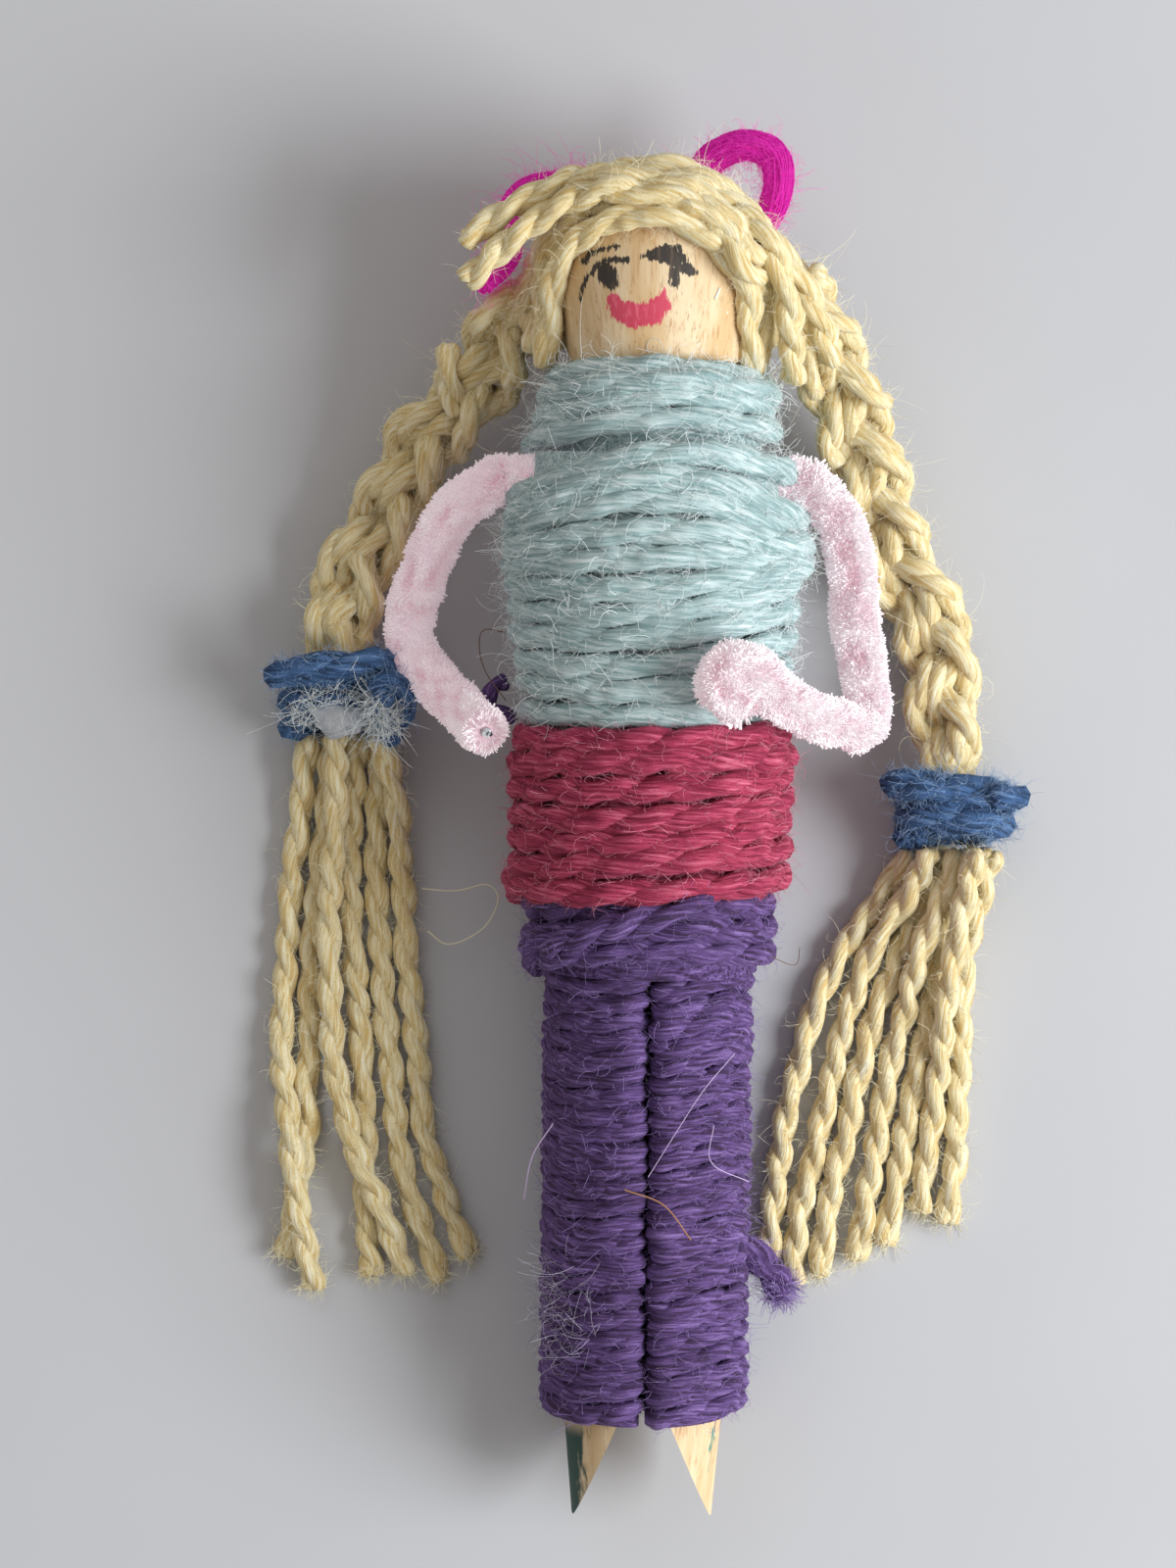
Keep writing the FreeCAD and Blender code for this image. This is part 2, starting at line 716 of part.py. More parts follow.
# Loose strands below each tie, from the tie to the cut end, laid on the surface.
TASSELS = {
    "left": [
        [(-27.7, 8.0, 3.4), (-28.2, 3.0, 1.6), (-29.1, -4.0, 1.05), (-29.9, -12.0, 1.05),
         (-30.0, -20.0, 1.4), (-29.2, -26.5, 3.2), (-28.2, -32.9, 3.2), (-27.4, -38.6, 1.05)],
        [(-25.6, 8.0, 3.4), (-26.1, 3.0, 1.5), (-26.9, -4.0, 1.05), (-27.6, -12.0, 1.05),
         (-27.8, -20.0, 1.05), (-27.9, -26.5, 1.05), (-29.0, -31.6, 1.05), (-29.9, -36.0, 1.05)],
        [(-25.2, 8.0, 5.6), (-25.3, 3.0, 3.6), (-25.7, -4.5, 2.95), (-26.1, -12.5, 3.0),
         (-25.6, -20.5, 2.3), (-23.9, -26.8, 3.2), (-21.2, -32.4, 3.1), (-19.7, -37.4, 1.05)],
        [(-23.5, 8.0, 3.4), (-24.0, 3.0, 1.5), (-24.5, -4.0, 1.05), (-23.9, -12.0, 1.05),
         (-23.2, -19.0, 1.05), (-23.0, -26.0, 1.05), (-22.9, -32.0, 1.05), (-22.5, -37.6, 1.05)],
        [(-21.4, 8.0, 3.4), (-21.9, 3.0, 1.5), (-22.2, -4.0, 1.05), (-21.6, -12.0, 1.05),
         (-21.0, -19.0, 1.05), (-20.5, -25.0, 1.05), (-19.0, -31.9, 1.05), (-16.7, -37.9, 1.05)],
        [(-21.9, 8.0, 5.9), (-20.3, 3.0, 3.7), (-19.9, -4.0, 1.5), (-19.4, -12.0, 1.05),
         (-18.8, -19.0, 1.05), (-18.2, -25.0, 1.05), (-16.5, -30.8, 1.05), (-14.2, -36.0, 1.05)],
    ],
    "right": [
        [(22.8, -1.7, 3.0), (20.8, -5.0, 1.4), (17.2, -9.2, 1.05), (14.8, -14.5, 1.05),
         (13.1, -20.0, 1.05), (11.9, -26.0, 1.05), (11.1, -31.4, 1.05), (10.9, -36.0, 1.05)],
        [(24.0, -1.7, 5.2), (22.9, -4.8, 3.7), (19.7, -9.2, 1.6), (17.5, -14.5, 1.05),
         (16.0, -20.0, 1.05), (14.9, -26.0, 1.05), (13.3, -32.2, 1.05), (12.7, -38.2, 1.05)],
        [(25.4, -1.7, 3.0), (23.8, -5.2, 1.3), (22.1, -9.5, 1.05), (19.9, -14.8, 1.05),
         (18.3, -20.4, 1.05), (17.1, -26.0, 1.05), (15.5, -32.0, 1.05), (14.9, -37.6, 1.05)],
        [(26.5, -1.7, 5.2), (25.1, -5.4, 3.8), (23.4, -10.0, 3.1), (22.0, -15.4, 1.5),
         (20.6, -21.0, 1.05), (19.7, -26.6, 1.05), (18.9, -31.8, 1.05), (17.9, -36.3, 1.05)],
        [(27.8, -1.7, 3.0), (26.1, -5.2, 1.3), (24.7, -9.6, 1.05), (24.35, -15.2, 1.05),
         (22.9, -21.0, 1.05), (21.9, -26.8, 1.05), (21.1, -31.4, 1.05), (20.3, -35.0, 1.05)],
        [(27.6, -1.7, 7.2), (26.8, -5.4, 5.6), (25.9, -10.2, 3.3), (25.3, -15.4, 3.0),
         (24.8, -20.8, 2.1), (24.1, -26.6, 1.05), (23.3, -32.2, 1.05)],
        [(29.1, -1.7, 5.1), (28.5, -5.4, 2.9), (27.2, -10.2, 1.05), (26.8, -15.6, 1.05),
         (26.7, -21.2, 1.05), (26.4, -27.3, 1.05), (25.6, -33.3, 1.05)],
    ],
}


def make_tassels():
    for side, strands in TASSELS.items():
        for number, points in enumerate(strands, start=1):
            tube_piece(f"{side}_tassel_strand_{number}", points, size.yarn_radius.number)


def make_small_pieces():
    for label, points in LOOSE_HAIR.items():
        tube_piece(label, points, size.yarn_radius.number)
    for label, points in BOWS.items():
        tube_piece(label, points, size.bow_radius.number)
    tube_piece("leg_yarn_end", [(10.1, -35.6, 8.2), (11.0, -36.9, 7.6), (11.7, -38.4, 7.4)],
               size.yarn_radius.number)
    tube_piece("waist_yarn_loop", [(-11.0, 9.3, 8.6), (-12.5, 10.0, 8.4), (-12.3, 11.6, 8.3),
                                   (-10.9, 12.2, 8.5)], size.loop_radius.number)
    glue = doc.addObject("Part::Ellipsoid", "Glue")
    bound(glue, Radius1=0.5, Radius2=3.0, Radius3=1.5)
    glue.Placement = Placement(Vector(-24.7, 9.4, 9.95), Rotation())
    kept(glue, "left_tie_glue")


def check_and_write():
    doc.recompute()
    for thing in doc.Objects:
        if "Invalid" in thing.State or "Error" in thing.State:
            raise RuntimeError(f"{thing.Label} failed: {thing.State}")
    os.makedirs("parts", exist_ok=True)
    for piece in pieces:
        shape = piece.Shape
        if shape.isNull() or not shape.isValid() or not shape.Solids:
            raise RuntimeError(f"{piece.Label} has no valid solid")
        shape.exportStep(f"parts/{piece.Label}.step")
    print(f"{len(pieces)} pieces written")


print(f"shoulders at {LEFT_SHOULDER} and {RIGHT_SHOULDER}")
make_peg()
make_shirt(make_chest_stem())
kept(make_winding("Belt", size.belt_bottom, size.chest_bottom - size.gap, BELT_TURNS,
                  size.belt_outer), "belt_yarn")
kept(make_winding("Hip", size.hip_bottom, size.belt_bottom - size.gap, HIP_TURNS,
                  size.hip_outer), "hip_yarn")
make_leg_windings()
make_arms()
make_hair_over_head()
make_braids()
make_tassels()
make_small_pieces()
check_and_write()
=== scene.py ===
import math

import bpy
import numpy as np
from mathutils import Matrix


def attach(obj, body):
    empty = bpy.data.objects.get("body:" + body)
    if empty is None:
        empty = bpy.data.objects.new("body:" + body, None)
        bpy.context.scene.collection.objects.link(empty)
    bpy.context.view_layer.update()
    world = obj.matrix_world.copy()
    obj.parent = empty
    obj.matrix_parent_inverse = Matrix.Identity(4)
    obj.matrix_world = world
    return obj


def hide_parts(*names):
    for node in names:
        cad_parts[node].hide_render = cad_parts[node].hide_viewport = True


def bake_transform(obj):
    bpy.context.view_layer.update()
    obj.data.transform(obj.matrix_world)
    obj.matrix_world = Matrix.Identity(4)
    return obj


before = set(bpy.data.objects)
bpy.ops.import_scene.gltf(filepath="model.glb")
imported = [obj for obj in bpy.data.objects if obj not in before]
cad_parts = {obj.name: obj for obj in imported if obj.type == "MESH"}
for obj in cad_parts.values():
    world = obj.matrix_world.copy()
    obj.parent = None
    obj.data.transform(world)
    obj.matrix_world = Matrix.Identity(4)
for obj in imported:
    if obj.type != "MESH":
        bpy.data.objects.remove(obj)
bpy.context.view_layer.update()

# A peg doll that lies on its back: the wooden peg, its yarn clothes, chenille arms and yarn hair.
# Everything is worked out in millimetres in the frame of the CAD, and made in metres.

MM = 0.001
random = np.random.default_rng(21)
scene = bpy.context.scene


# ---- camera, light and floor

EYE = (-4.4, 3.7, 342.0)
LENS = 93.5
MIDDLE_HEIGHT = 12.0
# Each lamp's name, place in metres, power, width in metres and tint.
LAMPS = [
    ("key", (0.46, -0.10, 0.33), 4.3, 0.34, (0.95, 0.98, 1.0)),
    ("fill", (-0.20, 0.45, 0.55), 0.6, 0.5, (1.0, 1.0, 1.0)),
]


def make_view():
    camera = bpy.data.cameras.new("camera")
    camera.lens = LENS
    camera.clip_start = 0.01
    eye = bpy.data.objects.new("camera", camera)
    eye.location = [value * MM for value in EYE]
    scene.collection.objects.link(eye)
    scene.camera = eye
    scene.view_settings.view_transform = "Standard"

    world = bpy.data.worlds.new("studio")
    world.use_nodes = True
    sky = world.node_tree.nodes["Background"]
    sky.inputs["Color"].default_value = (1.0, 0.95, 0.91, 1)
    sky.inputs["Strength"].default_value = 0.39
    scene.world = world
    for name, place, energy, width, tint in LAMPS:
        lamp = bpy.data.lights.new(name, "AREA")
        lamp.energy = energy
        lamp.color = tint
        lamp.size = width
        holder = bpy.data.objects.new(name, lamp)
        holder.location = place
        aim = -np.array(place)
        lean = math.acos(-aim[2] / np.linalg.norm(aim))
        holder.rotation_euler = (lean, 0, math.atan2(-aim[0], aim[1]))
        scene.collection.objects.link(holder)


def seen(x, y, z):
    """The place at height z that looks, from the camera, to be at (x, y) at the doll's mid height."""
    share = (EYE[2] - z) / (EYE[2] - MIDDLE_HEIGHT)
    return EYE[0] + (x - EYE[0]) * share, EYE[1] + (y - EYE[1]) * share, z


# ---- lines


# The distance between a yarn's points.
STEP = 0.3
TURN = 2 * math.pi


def unit(vectors):
    return vectors / np.maximum(np.linalg.norm(vectors, axis=-1, keepdims=True), 1e-9)


def eased(share):
    """0 to 1 with a slow start and a slow end."""
    return share * share * (3 - 2 * share)


def spun(angle, first, second):
    """The direction at an angle from the first towards the second."""
    return np.cos(angle)[..., None] * first + np.sin(angle)[..., None] * second


def evenly(line, step):
    """The same line with its points at equal distances."""
    line = np.asarray(line, float)
    along = np.concatenate([[0], np.cumsum(np.linalg.norm(np.diff(line, axis=0), axis=1))])
    spots = np.linspace(0, along[-1], max(int(along[-1] / step), 3) + 1)
    return np.stack([np.interp(spots, along, line[:, axis]) for axis in range(3)], axis=1)


def through(points, step=STEP):
    """A smooth line through points."""
    points = np.asarray(points, float)
    ends = np.vstack([2 * points[0] - points[1], points, 2 * points[-1] - points[-2]])
    share = np.linspace(0, 1, 24, endpoint=False)[:, None]
    runs = []
    for a, b, c, d in zip(ends, ends[1:], ends[2:], ends[3:]):
        bend = 2 * a - 5 * b + 4 * c - d
        runs.append(b + 0.5 * share * (c - a + share * (bend + share * (3 * (b - c) + d - a))))
    return evenly(np.vstack([*runs, points[-1:]]), step)


def wander(steps, knots, size):
    """Smooth random values along a line."""
    values = random.uniform(-size, size, max(int(knots), 2) + 1)
    spots = np.linspace(0, len(values) - 1, steps)
    low = np.minimum(spots.astype(int), len(values) - 2)
    share = eased(spots - low)
    return values[low] * (1 - share) + values[low + 1] * share


def frames(lines):
    """Forward, sideways and upward directions along many lines, carried on without twisting."""
    forward = unit(np.gradient(lines, axis=1))
    steep = np.abs(forward[:, 0, 2:3]) > 0.9
    side = unit(np.cross(forward[:, 0], np.where(steep, [[1.0, 0, 0]], [[0, 0, 1.0]])))
    sideways = np.empty_like(lines)
    for step in range(lines.shape[1]):
        here = forward[:, step]
        side = unit(side - (side * here).sum(-1, keepdims=True) * here)
        sideways[:, step] = side
    return forward, sideways, np.cross(sideways, forward)


def frame_of(line):
    return [way[0] for way in frames(line[None])]


# ---- meshes


def tubes(lines, radii, sides=7, twist=0.0):
    """Tubes along many lines of equal point counts, with what their fuzz and streaks need."""
    forward, sideways, upward = frames(lines)
    count, steps = lines.shape[:2]
    angle = np.arange(sides) * (TURN / sides)
    out = spun(angle, sideways[:, :, None], upward[:, :, None])
    points = lines[:, :, None] + out * np.broadcast_to(radii, (count, steps))[..., None, None]
    gaps = np.linalg.norm(np.diff(lines, axis=1), axis=-1)
    along = np.concatenate([np.zeros((count, 1)), np.cumsum(gaps, axis=1)], axis=1)
    turned = angle + twist * along[..., None]
    along = along + random.uniform(0, 500, (count, 1))
    along = np.broadcast_to(along[..., None], turned.shape)
    number = np.arange(count * steps * sides).reshape(count, steps, sides)
    beside = np.roll(number, -1, axis=2)
    corners = [number[:, :-1], number[:, 1:], beside[:, 1:], beside[:, :-1]]
    return {
        "points": points.reshape(-1, 3),
        "faces": np.stack(corners, -1).reshape(-1, 4),
        "fibre": np.stack([along, np.cos(turned), np.sin(turned)], -1).reshape(-1, 3),
        "out": out.reshape(-1, 3),
        "forward": np.repeat(forward, sides, axis=1).reshape(-1, 3),
    }


def joined(parts):
    start = 0
    faces = []
    for part in parts:
        faces.append(part["faces"] + start)
        start += len(part["points"])
    whole = {key: np.vstack([part[key] for part in parts]) for key in parts[0] if key != "faces"}
    whole["faces"] = np.vstack(faces)
    return whole


def new_piece(name, part, material):
    """Makes one object of a mesh worked out in millimetres."""
    faces = part["faces"]
    corners = faces.shape[1]
    mesh = bpy.data.meshes.new(name)
    mesh.vertices.add(len(part["points"]))
    mesh.vertices.foreach_set("co", (part["points"] * MM).astype(np.float32).ravel())
    mesh.loops.add(faces.size)
    mesh.loops.foreach_set("vertex_index", faces.astype(np.int32).ravel())
    mesh.polygons.add(len(faces))
    mesh.polygons.foreach_set("loop_start", np.arange(0, faces.size, corners, dtype=np.int32))
    mesh.update(calc_edges=True)
    mesh.shade_smooth()
    for key in ("fibre", "ink"):
        if key in part:
            attribute = mesh.attributes.new(key, "FLOAT_VECTOR", "POINT")
            attribute.data.foreach_set("vector", part[key].astype(np.float32).ravel())
    mesh.materials.append(material)
    piece = bpy.data.objects.new(name, mesh)
    scene.collection.objects.link(piece)
    return piece


def show(name, part, material, body="doll", instead_of=()):
    """A piece that moves with one body and stands in for CAD nodes."""
    piece = new_piece(name, part, material)
    if instead_of:
        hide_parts(*instead_of)
    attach(piece, body)
    return piece


def kept_above(points, height):
    """Lifts points up to at least a height."""
    points[..., 2] = np.maximum(points[..., 2], height)
    return points


def rings_mesh(rings):
    """A sleeve through closed rings: rings is (rings, points, 3)."""
    count, sides = rings.shape[:2]
    number = np.arange(count * sides).reshape(count, sides)
    beside = np.roll(number, -1, axis=1)
    corners = [number[:-1], number[1:], beside[1:], beside[:-1]]
    points = rings.reshape(-1, 3)
    return {"points": points, "faces": np.stack(corners, -1).reshape(-1, 4), "fibre": points * 1.0}


def yarn(line, radius, pitch=7.5, merge=0.40, lumps=0.13, sides=7, grow=0.0):
    """Two-ply yarn along a line: each ply is a lumpy tube that winds round it.

    merge says how far the plies stand apart: small for soft wool that hardly shows them.
    grow is the length over which a strand comes out from among others.
    """
    line = evenly(line, STEP)
    steps = len(line)
    _, sideways, upward = frame_of(line)
    along = np.arange(steps) * np.linalg.norm(line[1] - line[0])
    place = wander(steps, along[-1] / 5, 0.8) + random.uniform(0, 6)
    routes = []
    radii = []
    for ply in range(2):
        angle = TURN * (along / pitch + ply / 2) + place
        routes.append(line + radius * merge * spun(angle, sideways, upward))
        thick = radius * (1.02 - 0.85 * merge) * (1 + wander(steps, along[-1] / 0.9, lumps))
        if grow:
            thick *= np.clip(0.2 + along / grow, 0, 1)
        thick[[0, -1]] *= 0.05
        radii.append(thick)
    return tubes(np.array(routes), np.array(radii), sides, 4.0 / pitch)


def top_within(part, centre, half_size):
    """Which of a mesh's points are on its upper side and inside an ellipsoid."""
    away = np.linalg.norm((part["points"] - centre) / half_size, axis=1)
    return (part["out"][:, 2] > 0) & (away < 1)


def cut_end_of(part, points):
    """Which of a yarn's points are at its cut end."""
    ply = len(part["points"]) // 2
    return np.arange(len(part["points"])) % ply > ply - points


def fuzz(part, count, length, radius=0.022, lift=0.5, curl=0.55, only=None, segments=5):
    """Curly stray fibres that grow out of a mesh, more along it than away from it."""
    allowed = np.arange(len(part["points"])) if only is None else np.nonzero(only)[0]
    roots = allowed[random.integers(0, len(allowed), count)]
    out = part["out"][roots]
    along = part["forward"][roots] * random.choice([-1, 1], (count, 1))
    way = unit(lift * out + along * random.uniform(0.2, 1, (count, 1))
               + random.normal(0, 0.45, (count, 3)))
    below = (way * out).sum(-1, keepdims=True) < 0.05
    way = unit(np.where(below, way + 0.5 * out, way))
    axis = unit(random.normal(0, 1, (count, 3)))
    turn = random.normal(0, curl, (count, 1))
    size = length * random.uniform(0.35, 1.3, (count, 1)) / segments
    places = [part["points"][roots]]
    for _ in range(segments):
        places.append(places[-1] + way * size)
        way = unit(way * np.cos(turn) + np.cross(axis, way) * np.sin(turn))
        axis = unit(axis + random.normal(0, 0.25, (count, 3)))
    lines = kept_above(np.stack(places, axis=1), 0.06)
    taper = np.linspace(1.0, 0.5, segments + 1)
    return tubes(lines, radius * taper[None] * random.uniform(0.7, 1.2, (count, 1)), 3)


def two_fuzzes(part, short, long):
    """Short stray fibres and a few long ones. Each takes what fuzz does after the mesh."""
    return joined([fuzz(part, *short), fuzz(part, *long)])


# ---- materials


def colour(code):
    """A colour written as six hexadecimal digits, as a shader takes it."""
    parts = [int(code[start:start + 2], 16) / 255 for start in (0, 2, 4)]
    return [p / 12.92 if p <= 0.04045 else ((p + 0.055) / 1.055) ** 2.4 for p in parts] + [1.0]


class Nodes:
    """A material's node tree, with short ways to add and join nodes."""

    def __init__(self, name):
        self.material = bpy.data.materials.new(name)
        self.material.use_nodes = True
        self.tree = self.material.node_tree
        self.shader = self.tree.nodes["Principled BSDF"]

    def add(self, kind, **inputs):
        node = self.tree.nodes.new("ShaderNode" + kind)
        for key, value in inputs.items():
            self.put(node, key, value)
        return node

    def put(self, node, key, value):
        socket = node.inputs[int(key[1:]) if key[0] == "i" and key[1:].isdigit() else key]
        if isinstance(value, bpy.types.NodeSocket):
            self.tree.links.new(value, socket)
        else:
            socket.default_value = value

    def set(self, key, value):
        self.put(self.shader, key, value)

    def surface(self, body, rough, gloss):
        self.set("Base Color", body)
        self.set("Roughness", rough)
        self.set("Specular IOR Level", gloss)

    def noise(self, vector, stretch, detail=3.0, rough=0.55):
        """Noise stretched by different amounts along X, Y and Z."""
        mapping = self.add("Mapping", Vector=vector, Scale=stretch)
        node = self.add("TexNoise", Vector=mapping.outputs["Vector"], Scale=1.0, Detail=detail,
                        Roughness=rough)
        return node.outputs["Fac"]

    def between(self, value, low, high):
        """0 below low, 1 above high, smooth between."""
        node = self.add("MapRange", Value=value)
        node.interpolation_type = "SMOOTHSTEP"
        self.put(node, "From Min", low)
        self.put(node, "From Max", high)
        return node.outputs["Result"]

    def maths(self, operation, first, second=0.5):
        node = self.add("Math", i0=first, i1=second)
        node.operation = operation
        return node.outputs[0]

    def mix(self, share, first, second):
        node = self.add("Mix")
        node.data_type = "RGBA"
        self.put(node, "i0", share)
        self.put(node, "i6", first)
        self.put(node, "i7", second)
        return node.outputs[2]

    def tinted(self, body, mask, share, code):
        """The same colours, mixed with another by up to a share where the mask is 1."""
        return self.mix(self.maths("MULTIPLY", mask, share), body, colour(code))

    def bump(self, height, distance, strength=1.0):
        node = self.add("Bump", Height=height, Distance=distance * MM, Strength=strength)
        self.set("Normal", node.outputs["Normal"])

    def attribute(self, name):
        node = self.add("Attribute")
        node.attribute_name = name
        return node.outputs["Vector"]

    def place(self):
        return self.add("TexCoord").outputs["Object"]


def yarn_material(name, deep, middle, pale, streak=(0.35, 2.4, 2.4)):
    """Wool: fine streaks along each ply, and slow changes from place to place."""
    nodes = Nodes(name)
    fibre = nodes.attribute("fibre")
    fine = nodes.noise(fibre, streak, 4.0, 0.65)
    slow = nodes.noise(nodes.place(), (220, 220, 220), 2.0)
    body = nodes.mix(nodes.between(fine, 0.36, 0.56), colour(deep), colour(middle))
    body = nodes.mix(nodes.between(fine, 0.5, 0.74), body, colour(pale))
    body = nodes.tinted(body, nodes.between(slow, 0.45, 0.75), 0.35, deep)
    nodes.surface(body, 0.85, 0.25)
    nodes.set("Sheen Weight", 0.35)
    nodes.set("Sheen Roughness", 0.45)
    nodes.set("Sheen Tint", colour(pale))
    grain = nodes.noise(fibre, (streak[0] * 1.6, streak[1] * 2.2, streak[2] * 2.2), 3.0, 0.6)
    nodes.bump(grain, 0.16, 0.8)
    return nodes.material


def fibre_material(name, code, rough=0.6):
    """Single fibres, too thin to carry a pattern."""
    nodes = Nodes(name)
    nodes.surface(colour(code), rough, 0.4)
    nodes.set("Sheen Weight", 0.2)
    return nodes.material


def wood_colours(nodes, place):
    """Pale wood with its grain along Y, and the height of its grain for the bump."""
    wide = nodes.noise(place, (420, 22, 420), 3.0, 0.6)
    lines = nodes.noise(place, (2600, 90, 2600), 4.0, 0.7)
    wood = nodes.mix(nodes.between(wide, 0.35, 0.68), colour("E8D2AE"), colour("D6B587"))
    wood = nodes.mix(nodes.between(lines, 0.52, 0.75), wood, colour("B98B59"))
    pores = nodes.noise(place, (5200, 260, 5200), 2.0, 0.5)
    return nodes.tinted(wood, nodes.between(pores, 0.62, 0.72), 0.5, "94683E"), lines


def finish_wood(nodes, body, height):
    nodes.surface(body, 0.62, 0.35)
    nodes.bump(height, 0.05, 0.7)
    return nodes.material


def face_material():
    """The same wood, with ink that has bled along the grain."""
    nodes = Nodes("drawn_wood")
    place = nodes.place()
    wood, lines = wood_colours(nodes, place)
    ink = nodes.add("SeparateXYZ", Vector=nodes.attribute("ink"))
    bleed = nodes.noise(place, (4200, 420, 4200), 3.0, 0.7)
    bleed = nodes.maths("MULTIPLY", nodes.maths("SUBTRACT", bleed, 0.5), 1.3)
    patchy = nodes.noise(place, (2600, 300, 2600), 3.0, 0.6)
    for output, edge, code, thin in (("X", 0.07, "CE3A5C", "E0607A"), ("Y", 0.05, "191B22", "4A3F38")):
        far = nodes.maths("ADD", ink.outputs[output], bleed)
        mask = nodes.between(nodes.maths("MULTIPLY", far, -1.0), -edge, edge)
        tint = nodes.mix(nodes.between(patchy, 0.5, 0.7), colour(code), colour(thin))
        wood = nodes.mix(nodes.maths("MULTIPLY", mask, 0.95), wood, tint)
    return finish_wood(nodes, wood, lines)


def peg_material():
    """Wood with paint left on the outer edges of the feet."""
    nodes = Nodes("peg_wood")
    place = nodes.place()
    wood, lines = wood_colours(nodes, place)
    apart = nodes.add("SeparateXYZ", Vector=place)
    rough = nodes.maths("MULTIPLY", nodes.maths(
        "SUBTRACT", nodes.noise(place, (900, 300, 900), 3.0, 0.6), 0.5), 0.0035)
    edge = nodes.maths("ADD", apart.outputs["X"], rough)
    low = nodes.between(nodes.maths("MULTIPLY", apart.outputs["Y"], -1.0), 0.0475, 0.0495)
    left = nodes.between(nodes.maths("MULTIPLY", edge, -1.0), 0.0045, 0.0052)
    right = nodes.between(edge, 0.0056, 0.0062)
    dabs = nodes.between(nodes.noise(place, (500, 260, 500), 2.0, 0.5), 0.5, 0.56)
    wood = nodes.tinted(wood, low, left, "26463C")
    wood = nodes.tinted(wood, nodes.maths("MULTIPLY", low, right), dabs, "2F8C80")
    return finish_wood(nodes, wood, lines)


def pile_material():
    """Velvety chenille, with painted shade: darker towards the tufts' roots and in the body between them.
    """
    nodes = Nodes("chenille")
    fibre = nodes.add("SeparateXYZ", Vector=nodes.attribute("fibre"))
    slow = nodes.noise(nodes.place(), (260, 260, 260), 2.0)
    # Painted shade: the fibre attribute's X is low at the tufts' roots and in the body, which take the
    # deeper pink.
    body = nodes.mix(nodes.between(fibre.outputs["X"], 0.2, 0.95), colour("E9C2CE"), colour("FFFDFE"))
    body = nodes.tinted(body, nodes.between(slow, 0.45, 0.7), 0.3, "F0DCE3")
    nodes.surface(body, 0.9, 0.05)
    nodes.set("Sheen Weight", 0.25)
    nodes.set("Sheen Tint", colour("FFF4F8"))
    # A painted glow, standing in for light that passes through the thin, pale fibres.
    nodes.set("Emission Color", colour("F6DCE5"))
    nodes.set("Emission Strength", 0.15)
    return nodes.material


def wire_material():
    nodes = Nodes("wire")
    grain = nodes.noise(nodes.place(), (3000, 3000, 900), 3.0)
    nodes.set("Base Color", nodes.mix(grain, colour("8C8E92"), colour("C9CBCE")))
    nodes.set("Metallic", 1.0)
    nodes.set("Roughness", 0.35)
    nodes.bump(grain, 0.02)
    return nodes.material


def glue_material():
    nodes = Nodes("dried_glue")
    cloud = nodes.noise(nodes.place(), (700, 700, 700), 4.0, 0.6)
    nodes.set("Base Color", nodes.mix(cloud, colour("C3CAD4"), colour("F2F3F4")))
    nodes.set("Roughness", 0.4)
    nodes.set("Transmission Weight", 0.6)
    nodes.bump(cloud, 0.2)
    return nodes.material


def floor_material():
    nodes = Nodes("floor")
    cloud = nodes.noise(nodes.place(), (30, 30, 30), 3.0)
    nodes.surface(nodes.mix(cloud, colour("BEBFC3"), colour("C4C5C8")), 0.9, 0.1)
    return nodes.material


def make_floor():
    size = 1200.0
    corners = np.array([[-size, -size, 0], [size, -size, 0], [size, size, 0], [-size, size, 0]])
    mesh = bpy.data.meshes.new("floor")
    mesh.from_pydata((corners * MM).tolist(), [], [(0, 1, 2, 3)])
    mesh.materials.append(floor_material())
    floor = bpy.data.objects.new("floor", mesh)
    scene.collection.objects.link(floor)


make_view()
make_floor()

HAIR = yarn_material("hair_yarn", "D3B678", "EBDDB0", "F9F4DC")
HAIR_FIBRE = fibre_material("hair_fibre", "F6EFD2")
AQUA = yarn_material("aqua_yarn", "84A0A1", "B6CBCC", "E3EDED", (0.3, 3.2, 3.2))
WHITE_FIBRE = fibre_material("pale_fibre", "EFF5F5")
RASPBERRY = yarn_material("raspberry_yarn", "741C36", "AE3B5A", "D9778F", (0.3, 3.2, 3.2))
RASPBERRY_FIBRE = fibre_material("raspberry_fibre", "E08AA2")
PURPLE = yarn_material("purple_yarn", "35243F", "624880", "9379B2", (0.3, 3.0, 3.0))
PURPLE_FIBRE = fibre_material("purple_fibre", "9C82C0")
LILAC_FIBRE = fibre_material("lilac_fibre", "CDB8DE")
LINT_FIBRE = fibre_material("lint_fibre", "B4AEC2")
# A painted highlight: the white glints on the dried glue on the right cheek.
GLINT = fibre_material("glue_glint", "FBFBF6", 0.25)
BLUE = yarn_material("blue_yarn", "22344C", "40608C", "7391B8")
BLUE_FIBRE = fibre_material("blue_fibre", "86A4C8")
MAGENTA = yarn_material("magenta_roving", "B8108A", "EC26BA", "FF5ED0", (0.25, 3.5, 3.5))
MAGENTA_FIBRE = fibre_material("magenta_fibre", "E836BC")
BROWN_FIBRE = fibre_material("brown_fibre", "6A4A36")
TAN_FIBRE = fibre_material("tan_fibre", "B07C50")
# The dye is fluorescent; its extra brightness is painted as a glow of its own, whatever the lamps.
for fluorescent_glow in (MAGENTA, MAGENTA_FIBRE):
    shader = fluorescent_glow.node_tree.nodes["Principled BSDF"]
    shader.inputs["Emission Color"].default_value = colour("F020B8")
    shader.inputs["Emission Strength"].default_value = 0.2
PILE = pile_material()
WIRE = wire_material()
GLUE = glue_material()


# ---- tassels: thirteen loose strands

HAIR_RADIUS = 1.05

